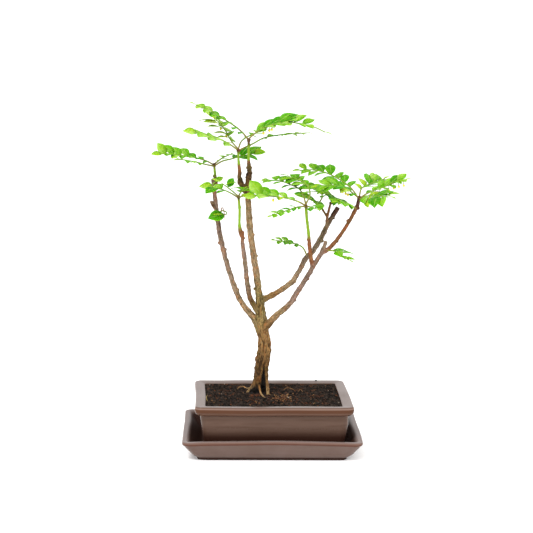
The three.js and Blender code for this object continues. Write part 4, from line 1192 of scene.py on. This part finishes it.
def leaves_of(spray, curve, draw):
    """Where each leaf stands, by the same rule as in the solids."""
    start, full, sweep = spray.get("from", 0.15), spray.get("full", 0.5), spray.get("sweep", 54)
    left_root, left_tip, right_root, right_tip = spray["rise"]
    up = np.array([0, 0, 1.0])
    for i in range(spray["leaves"] + 1):
        last = i == spray["leaves"]
        share = 1 if last else i / spray["leaves"]
        u = 0.985 if last else start + (spray.get("to", 0.97) - start) * share
        side = 0 if last else (-1 if i % 2 else 1)
        tangent = curve.tangent(u)
        ahead = unit(np.array([tangent[0], tangent[1], 0]))
        left = np.cross(up, ahead)
        low, high = (right_root, right_tip) if side < 0 else (left_root, left_tip)
        rise = spray.get("tip", 0) if last else low + (high - low) * share + 8 * draw()
        swept = 0 if last else sweep + 7 * draw()
        rise, swept = math.radians(rise), math.radians(swept)
        out = left * side * math.cos(rise) + up * math.sin(rise)
        forward = ahead * math.cos(swept) + out * math.sin(swept)
        forward = unit(forward + up * tangent[2] * (1 if last else LEAF["pitch"]))
        normal = up * math.cos(rise) - left * (1 if last else side) * math.sin(rise)
        normal = unit(normal - normal.dot(forward) * forward)
        reach = abs(share - full) / max(full, 1 - full)
        length = spray["size"] * (1 - 0.42 * reach ** 1.5) * (1 + 0.08 * draw()) * (0.75 if last else 1)
        yield {"base": curve.point(u), "forward": forward, "normal": normal,
               "across": np.cross(normal, forward), "length": length, "share": share}


LEAF_ROWS = 11
LEAF_COLUMNS = 6
STALK_SHARE = 0.07
FRONT = np.array([-0.05, -0.98, 0.17])


def blade_width(t):
    """Half the width of a leaf, as a share of its widest, at a share of its length."""
    if t < STALK_SHARE:
        return 0.055
    s = (t - STALK_SHARE) / (1 - STALK_SHARE)
    return 0.04 + 0.96 * max(0.0, math.sin(math.pi * s ** 0.92)) ** (0.6 + 0.42 * s)


def facing(leaf, least):
    """A leaf that would show its edge alone to the front is rolled a little about its midrib."""
    across, normal = leaf["across"], leaf["normal"]
    shown = float(normal.dot(FRONT))
    if abs(shown) >= least:
        return across, normal
    turn = (least - shown) / (float(across.dot(FRONT)) or 1)
    turn = max(-2 * least, min(2 * least, turn))
    return (across * math.cos(turn) - normal * math.sin(turn),
            normal * math.cos(turn) + across * math.sin(turn))


def leaf_blade(build, leaf, size, least, rng, tone, young):
    length = leaf["length"] * size
    across, normal = facing(leaf, least)
    roll = math.radians(LEAF["roll"] * (2 * rng.random() - 1))
    across, normal = (across * math.cos(roll) + normal * math.sin(roll),
                      normal * math.cos(roll) - across * math.sin(roll))
    dip = math.radians(LEAF["dip"] * (2 * rng.random() - 1))
    forward = leaf["forward"] * math.cos(dip) + normal * math.sin(dip)
    normal = normal * math.cos(dip) - leaf["forward"] * math.sin(dip)
    half = length * LEAF["width_ratio"] / 2 * (0.94 + 0.12 * rng.random())
    arch = LEAF["arch"] * length * (0.8 + 0.6 * rng.random())
    fold = LEAF["fold"] * (1 + rng.random())
    twist = math.radians(LEAF["twist"] * (rng.random() - 0.5))
    wave = LEAF["wave"] * length * (rng.random() - 0.5)
    skew = LEAF["skew"] * (rng.random() - 0.5)
    verts = []
    across_map = []
    along_map = []
    for face in (0.5, -0.5):
        for k in range(LEAF_ROWS + 1):
            t = 0.5 - 0.5 * math.cos(math.pi * k / LEAF_ROWS)
            w = half * blade_width(t)
            lift = arch * (math.sin(math.pi * min(1, t / 0.97)) - 0.55 * t ** 4)
            for j in range(LEAF_COLUMNS + 1):
                v = 2 * j / LEAF_COLUMNS - 1
                x = v * w + skew * length * math.sin(math.pi * t)
                turn = twist * t
                height = lift + fold * abs(v) * w * 0.55 - 0.16 * w * v * v
                height += wave * math.sin(2 * math.pi * t) * v + math.sin(turn) * x
                thick = LEAF["thickness"] * (0.35 + 0.65 * (1 - v * v)) * (1.25 if abs(v) < 0.1 else 1)
                point = (leaf["base"] + forward * t * length + across * x * math.cos(turn)
                         + normal * (height + face * thick))
                verts.append(point)
                across_map.append(v)
                along_map.append(t)
    columns = LEAF_COLUMNS + 1
    other = (LEAF_ROWS + 1) * columns
    faces = []
    for k in range(LEAF_ROWS):
        for j in range(LEAF_COLUMNS):
            a = k * columns + j
            faces.append((a, a + columns, a + columns + 1, a + 1))
            faces.append((other + a, other + a + 1, other + a + columns + 1, other + a + columns))
    edge = [k * columns for k in range(LEAF_ROWS)]
    edge += [LEAF_ROWS * columns + j for j in range(LEAF_COLUMNS)]
    edge += [k * columns + LEAF_COLUMNS for k in range(LEAF_ROWS, 0, -1)]
    edge += [j for j in range(LEAF_COLUMNS, 0, -1)]
    for a, b in zip(edge, edge[1:] + edge[:1]):
        faces.append((a, other + a, other + b, b))
    under = [0.0] * other + [1.0] * other
    build.add(verts, faces, 0, tone=tone, young=young, under=under, across=across_map,
              length_share=along_map)


def leaf_material(name):
    m = Nodes(name)
    tone = m.held("tone")
    young = m.held("young")
    across = m.sum("ABSOLUTE", m.held("across"))
    length = m.held("length_share")
    here = m.here()
    mottle = m.grain(here, 420, 3.0)
    tone = m.sum("ADD", tone, m.span(mottle, 0.3, 0.7, -0.12, 0.12))
    low = m.mix(m.span(tone, 0.0, 0.5), seen(66, 162, 0, 0), seen(128, 198, 8, 0))
    body = m.mix(m.span(tone, 0.5, 1.0), low, seen(176, 220, 84, 0))
    body = m.mix(young, body, seen(204, 226, 40, 0))
    body = m.mix(m.sum("MULTIPLY", m.held("under"), 0.6), body, seen(150, 208, 24, 0))
    # Painted light: one half of each leaf is painted paler as a sheen, more on lighter leaves; the other
    # half is painted darker as shade, and the leaf's foot darker as the shade of the leaves over it.
    half = m.sum("ADD", m.held("across"), m.span(mottle, 0.3, 0.7, -0.3, 0.3))
    pale = m.sum("MULTIPLY", m.span(half, 0.0, 0.7, 0.0, 0.6), m.span(tone, 0.2, 0.7))
    body = m.mix(pale, body, seen(192, 224, 132))
    body = m.mix(m.span(half, -0.1, -0.8, 0.0, 0.5), body, seen(62, 150, 0, 0))
    body = m.mix(m.span(length, 0.45, 0.0, 0.0, 0.5), body, seen(58, 142, 0, 0))
    wander = m.sum("ADD", m.sum("MULTIPLY", length, 7.0), m.sum("MULTIPLY", across, -2.6))
    stripe = m.sum("PINGPONG", wander, 0.5)
    lateral = m.span(stripe, 0.0, 0.09, 0.28, 0.0)
    body = m.mix(lateral, body, seen(164, 210, 84))
    body = m.mix(m.span(across, 0.03, 0.13, 0.62, 0.0), body, seen(184, 220, 110))
    body = m.mix(m.span(across, 0.9, 0.99, 0.0, 0.4), body, seen(176, 214, 80))
    ribs = m.sum("ADD", m.span(across, 0.0, 0.16, 0.0, 1.0), m.span(stripe, 0.0, 0.12, -0.4, 0.0))
    normal = m.bump(ribs, 0.00022, 0.6)
    normal = m.bump(mottle, 0.00012, 0.4, normal)
    return m.finish(body, 0.5, normal, 0.03, Subsurface_Weight=0.7, Subsurface_Scale=0.0015,
                    Subsurface_Radius=(0.7, 1.0, 0.1))


def stem_material(name):
    m = Nodes(name)
    here = m.here()
    body = m.mix(m.span(m.held("rooted"), 0.65, 1.0), seen(152, 192, 62), seen(172, 150, 84))
    body = m.mix(m.span(m.grain(here, 600, 3.0), 0.5, 0.75, 0, 0.5), body, seen(112, 140, 44))
    normal = m.bump(m.grain(here, 1400, 2.0), 0.00015, 0.5)
    return m.finish(body, 0.5, normal, 0.2)


def bud_material(name):
    m = Nodes(name)
    body = m.mix(m.span(m.held("rooted"), 0.0, 1.0), (0.92, 0.7, 0.05, 1), (0.7, 0.62, 0.08, 1))
    body = m.mix(m.span(m.grain(m.here(), 700, 3.0), 0.45, 0.7, 0, 0.5), body, (0.9, 0.56, 0.04, 1))
    normal = m.bump(m.grain(m.here(), 1500, 2.0), 0.0001, 0.5)
    return m.finish(body, 0.45, normal, 0.2)


def flower_bud(build, top, rng, stalk_length, ahead):
    """A bud of four folded petals on a thin stalk, which hangs down a little aslant."""
    lean = np.array([0.25 * (rng.random() - 0.5), 0.25 * (rng.random() - 0.5) - ahead, -1])
    lean = unit(lean)
    neck = top + lean * stalk_length
    end = neck + lean * BUD["length"]
    stalk = frames(Curve([top, (top + neck) / 2 + np.array([0.12, 0, 0]), neck + lean * 0.3]), 4)
    build.tube(stalk, lambda u, angle: BUD["pedicel_radius"] * (1 + 0.5 * u), 6, 1, rooted=0.0)
    rows = frames(Curve([neck, (neck + end) / 2, end]), 9)

    def radius_at(u, angle):
        swell = math.sin(math.pi * min(1, 0.06 + 0.94 * u) ** 0.8) ** 0.62
        return max(0.12, BUD["radius"] * swell * (1 + 0.10 * math.cos(4 * angle)))

    build.tube(rows, radius_at, 12, 2, rooted=[1 - k / 10 for k in range(10) for _ in range(12)])


# How sprays look: how light their leaves are and how much these differ, how much larger the leaves
# are than in the solids and how much further those at the foot, how much of its upper side a leaf
# shows to the front at the least, how much longer bud stalks are and how far they lean to the front
# for each step down, how much higher the middle of the spray lies, and which leaves get a young leaf's
# yellow, which on top_left_back is painted light.
USUAL_LOOKS = {"tones": (0.42, 0.45), "fuller": 1.06, "foot": 0, "shown": LEAF["least_shown"],
               "stalks": 1, "ahead": 0, "arched": 0, "young": ()}
LOOKS = {
    "outer_left_long": {"tones": (0.45, 0.4)},
    "outer_left_right": {"tones": (0.12, 0.12)},
    "outer_left_leaf": {"fuller": 0.86},
    "top_left_long": {"tones": (0.6, 0.35), "fuller": 1.2, "shown": 0.3, "arched": 1.2},
    # Painted light: these leaves are painted lighter, with tone 1.0 and every other leaf in a young leaf's
    # yellow, to make up for the shade they get.
    "top_left_back": {"tones": (1.0, 0.1), "fuller": 1.1, "shown": 0.34, "young": (0, 2, 4, 6, 8, 10)},
    "top_right_left": {"tones": (0.45, 0.4)},
    "top_right_right": {"tones": (0.5, 0.5), "fuller": 1.12, "stalks": 1.3, "arched": 1.8},
    "inner_left_right": {"tones": (0.62, 0.45), "young": (0,)},
    "lower_right_left": {"tones": (0.62, 0.4), "fuller": 1.12, "foot": -0.5, "young": (0, 4)},
    "lower_right_front": {"tones": (0.3, 0.3)},
    "lower_right_arch": {"tones": (0.15, 0.15), "fuller": 1.08},
    "lower_right_up": {"fuller": 1.14},
    "lower_right_right": {"fuller": 1.15, "shown": 0.3},
    "twig_left": {"fuller": 1.2, "young": (5,)},
    "twig_back": {"fuller": 1.2},
    "twig_up": {"fuller": 1.18},
    "crown_arch": {"tones": (0.3, 0.25), "foot": 0.5},
    "crown_left": {"fuller": 1.12, "foot": 0.3, "stalks": 1.7, "ahead": 0.8, "young": (2,)},
    "crown_back": {"fuller": 1.15, "foot": 0.2, "young": (0, 2, 9, 10)},
    "crown_right": {"stalks": 2.4, "ahead": 1.1},
    "crown_front": {"fuller": 1.14, "foot": 0.3, "young": (0, 2, 3)},
    "crown_low": {"fuller": 1.0, "foot": 0.25},
    "middle": {"tones": (0.4, 0.4), "fuller": 0.92},
    "elbow": {"tones": (0.35, 0.35), "fuller": 0.88, "foot": 0.5, "shown": 0.3},
    "limb_pair": {"tones": (0.3, 0.3), "fuller": 1.1, "foot": 0.6, "shown": 0.4},
}


def make_sprays():
    for number, (key, spray) in enumerate(SPRAYS.items()):
        name = "spray_" + key
        looks = {**USUAL_LOOKS, **LOOKS.get(key, {})}
        build = Build()
        rng = random.Random(name)
        spans = len(spray["route"]) - 1
        curve = Curve([(x, y, z + looks["arched"] * math.sin(math.pi * k / spans))
                       for k, (x, y, z) in enumerate(spray["route"])])
        middle, spread = looks["tones"]
        for k, leaf in enumerate(leaves_of(spray, curve, draws_from(101 + 37 * number))):
            tone = middle + spread * (2 * rng.random() - 1)
            young = 0.85 if k in looks["young"] else max(0.0, 0.5 * leaf["share"] ** 6)
            size = looks["fuller"] * (1 + looks["foot"] * (1 - leaf["share"]) ** 2)
            leaf_blade(build, leaf, size, looks["shown"], rng, tone, young)
        rows = frames(curve, max(12, round(curve.length / 1.5)))
        rooted = [1 - row[0] for row in rows for _ in range(8)]
        first, last = STEM["root_radius"], STEM["tip_radius"]
        build.tube(rows, lambda u, angle: first + (last - first) * u, 8, 1, rooted=rooted)
        for u in spray.get("buds", ()):
            stalk_length = BUD["pedicel"] * looks["stalks"]
            flower_bud(build, curve.point(u), rng, stalk_length, looks["ahead"])
        piece = build.piece("foliage_" + key, [LEAF_GREEN, STEM_GREEN, BUD_YELLOW])
        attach(piece, "root")
        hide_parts(name)


# Loose bits on the soil, and a dry curl on the outer left limb

# Each kind: how many, the least size and how much is drawn on top, and the colours to draw from.
# A place is the mean and the spread along X, and along Y.
CRUMBS = {"count": 1500, "size": (0.3, 0.75), "slots": (0, 0, 0, 0, 1, 1, 2)}
CHIPS = {"count": 170, "lift": 0.35, "length": (1.1, 2.0), "width": (0.4, 0.5),
         "slots": (1, 1, 1, 1, 2, 2, 3)}
PATCH = {"count": 150, "lift": 0.5, "length": (1.1, 1.7), "width": (0.5, 0.6),
         "slots": (1, 2, 2, 3, 3), "x": (8, 5), "y": (-12, 8)}
HEAP = {"count": 60, "size": (0.7, 0.6), "slots": (0, 0, 2), "x": (-17, 3.5), "y": (-3, 4)}
FIBRES = {"count": 150, "reach": (1.2, 2.6), "radius": (0.12, 0.1), "slots": (1, 1, 2, 2, 2),
          "share_x": 0.93, "share_y": 0.9}
LITTER_INSET = 11
FULL_TURN = 6.3


def make_litter():
    build = Build()
    rng = random.Random(8)
    half_x, half_y = POT["width"] / 2 - LITTER_INSET, POT["depth"] / 2 - LITTER_INSET

    def drawn(sizes, power=1):
        return sizes[0] + sizes[1] * rng.random() ** power

    def anywhere():
        return (rng.random() * 2 - 1) * half_x, (rng.random() * 2 - 1) * half_y

    def near(kind):
        return rng.gauss(*kind["x"]), rng.gauss(*kind["y"])

    def add_chip(kind, x, y):
        chip(build, (x, y, crumbly_height(x, y) + kind["lift"]), drawn(kind["length"]),
             drawn(kind["width"]), rng.random() * FULL_TURN, rng.random() - 0.5, rng.choice(kind["slots"]))

    for _ in range(CRUMBS["count"]):
        x, y = anywhere()
        size = drawn(CRUMBS["size"], 3)
        slot = rng.choice(CRUMBS["slots"])
        lump(build, (x, y, crumbly_height(x, y) + 0.2 * size), size, rng, slot)
    for _ in range(CHIPS["count"]):
        add_chip(CHIPS, *anywhere())
    for _ in range(PATCH["count"]):
        add_chip(PATCH, *near(PATCH))
    for _ in range(HEAP["count"]):
        x, y = near(HEAP)
        size = drawn(HEAP["size"])
        lump(build, (x, y, crumbly_height(x, y) + 0.4), size, rng, rng.choice(HEAP["slots"]))
    for _ in range(FIBRES["count"]):
        x, y = anywhere()
        x *= FIBRES["share_x"]
        y *= FIBRES["share_y"]
        turn = rng.random() * FULL_TURN
        reach = drawn(FIBRES["reach"])
        bend = rng.random() * 2 - 1
        points = []
        for w in (-1, -0.35, 0.35, 1):
            px = x + reach * w * math.cos(turn) - bend * (1 - w * w) * math.sin(turn)
            py = y + reach * w * math.sin(turn) + bend * (1 - w * w) * math.cos(turn)
            points.append((px, py, crumbly_height(px, py) + 0.1 + 0.7 * (1 - w * w) * rng.random()))
        strand(build, points, drawn(FIBRES["radius"]), rng.choice(FIBRES["slots"]), 5, 8)
    for at, size, slot in LOOSE_LUMPS:
        lump(build, at, size, rng, slot)
    for points, radius, slot in LOOSE_STRANDS:
        strand(build, points, radius, slot, 6, 14)
    colours = [CRUMB_DARK, CRUMB_GREY, CHIP_BROWN, CHIP_TAN, CHIP_PALE, BIT_GREEN]
    litter = build.piece("loose_bits", colours, False)
    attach(litter, "root")


# Each lump: [centre, radius, colour]; each strand: [points, radius, colour].
LOOSE_LUMPS = [
    ((15, -17, 53), 0.8, 4), ((24, -18, 52), 0.7, 2), ((2, -8, 53), 0.7, 3), ((47, 50, 54), 1, 0),
    ((-22, -36, 53), 1.1, 0), ((-61, 39, 52), 0.5, 4), ((-46, 43, 52), 0.5, 4), ((-50, 2, 52), 0.5, 4),
    ((57, 14, 52), 0.6, 4), ((63, -34, 52), 0.6, 4),
]
LOOSE_STRANDS = [
    ([(-64, -24, 51), (-65, -18, 53), (-64, -12, 54)], 0.45, 5),
    ([(-18, -37, 51), (-17, -38, 53), (-18, -39, 55)], 0.5, 3),
    ([(12, 17, 52), (15, 21, 53), (19, 21, 53), (23, 17, 52)], 0.24, 3),
    ([(26, 10, 52), (29, 15, 53), (31, 9, 52)], 0.22, 3),
    ([(35, -12, 52), (40, -8, 53), (45, -12, 53), (50, -10, 52)], 0.22, 2),
    ([(2, -22, 52), (8, -19, 53), (14, -22, 52)], 0.22, 2),
    ([(-26, -30, 52), (-22, -26, 53), (-17, -31, 52)], 0.24, 2),
]
DRY_CURL = [(-51, 9, 232), (-51, 9, 235), (-50, 9, 236), (-49, 8, 234), (-48, 8, 229), (-48, 8, 224)]


def scrap_material(name, base, other):
    m = Nodes(name)
    here = m.here()
    body = m.mix(m.span(m.grain(here, 800, 4.0), 0.35, 0.65), base, other)
    normal = m.bump(m.grain(here, 1600, 3.0), 0.0002, 0.7)
    return m.finish(body, 0.85, normal, 0.25)


def make_dry_curl():
    build = Build()
    rows = frames(Curve(DRY_CURL), 26)
    build.tube(rows, lambda u, angle: 0.5 * (1 - 0.5 * u) * (1 + 0.2 * math.sin(9 * u + 2 * angle)), 7)
    curl = build.piece("dry_curl", [CHIP_TAN])
    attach(curl, "root")


SHINE = 0.017  # what the glaze reflects on top of the clay's own colour
# The last two colours of each clay are painted light: a highlight along the rims' upper edges, and the
# sky's reflection on the rims' tops.
CLAY_POT = clay_material("clay_pot", seen(94, 66, 50, SHINE), seen(101, 73, 58, SHINE),
                         seen(132, 106, 94, SHINE), seen(92, 65, 49, SHINE), seen(112, 75, 57, SHINE),
                         seen(176, 150, 138, SHINE), seen(156, 141, 136, SHINE))
CLAY_SAUCER = clay_material("clay_saucer", seen(133, 110, 101, SHINE), seen(142, 120, 112, SHINE),
                            seen(158, 137, 130, SHINE), seen(122, 97, 87, SHINE),
                            seen(114, 70, 52, SHINE), seen(156, 116, 102, SHINE),
                            seen(153, 136, 131, SHINE))
SOIL_EARTH = soil_material("soil_earth")
BARK = bark_material("bark_rough")
LEAF_GREEN = leaf_material("leaf_green")
STEM_GREEN = stem_material("stem_green")
BUD_YELLOW = bud_material("bud_yellow")
CRUMB_DARK = scrap_material("crumb_dark", seen(24, 17, 13, 0.004), seen(52, 40, 32, 0.01))
CRUMB_GREY = scrap_material("crumb_grey", seen(60, 50, 44), seen(92, 78, 68))
CHIP_BROWN = scrap_material("chip_brown", seen(90, 54, 32), seen(136, 86, 54))
CHIP_TAN = scrap_material("chip_tan", seen(156, 110, 66), seen(196, 150, 104))
CHIP_PALE = scrap_material("chip_pale", seen(176, 160, 142), seen(206, 194, 178))
BIT_GREEN = scrap_material("bit_green", seen(150, 128, 76), seen(178, 154, 104))

place_camera()
place_ground()
place_lights()
make_saucer()
make_pot()
make_soil()
make_wood()
make_sprays()
make_litter()
make_dry_curl()
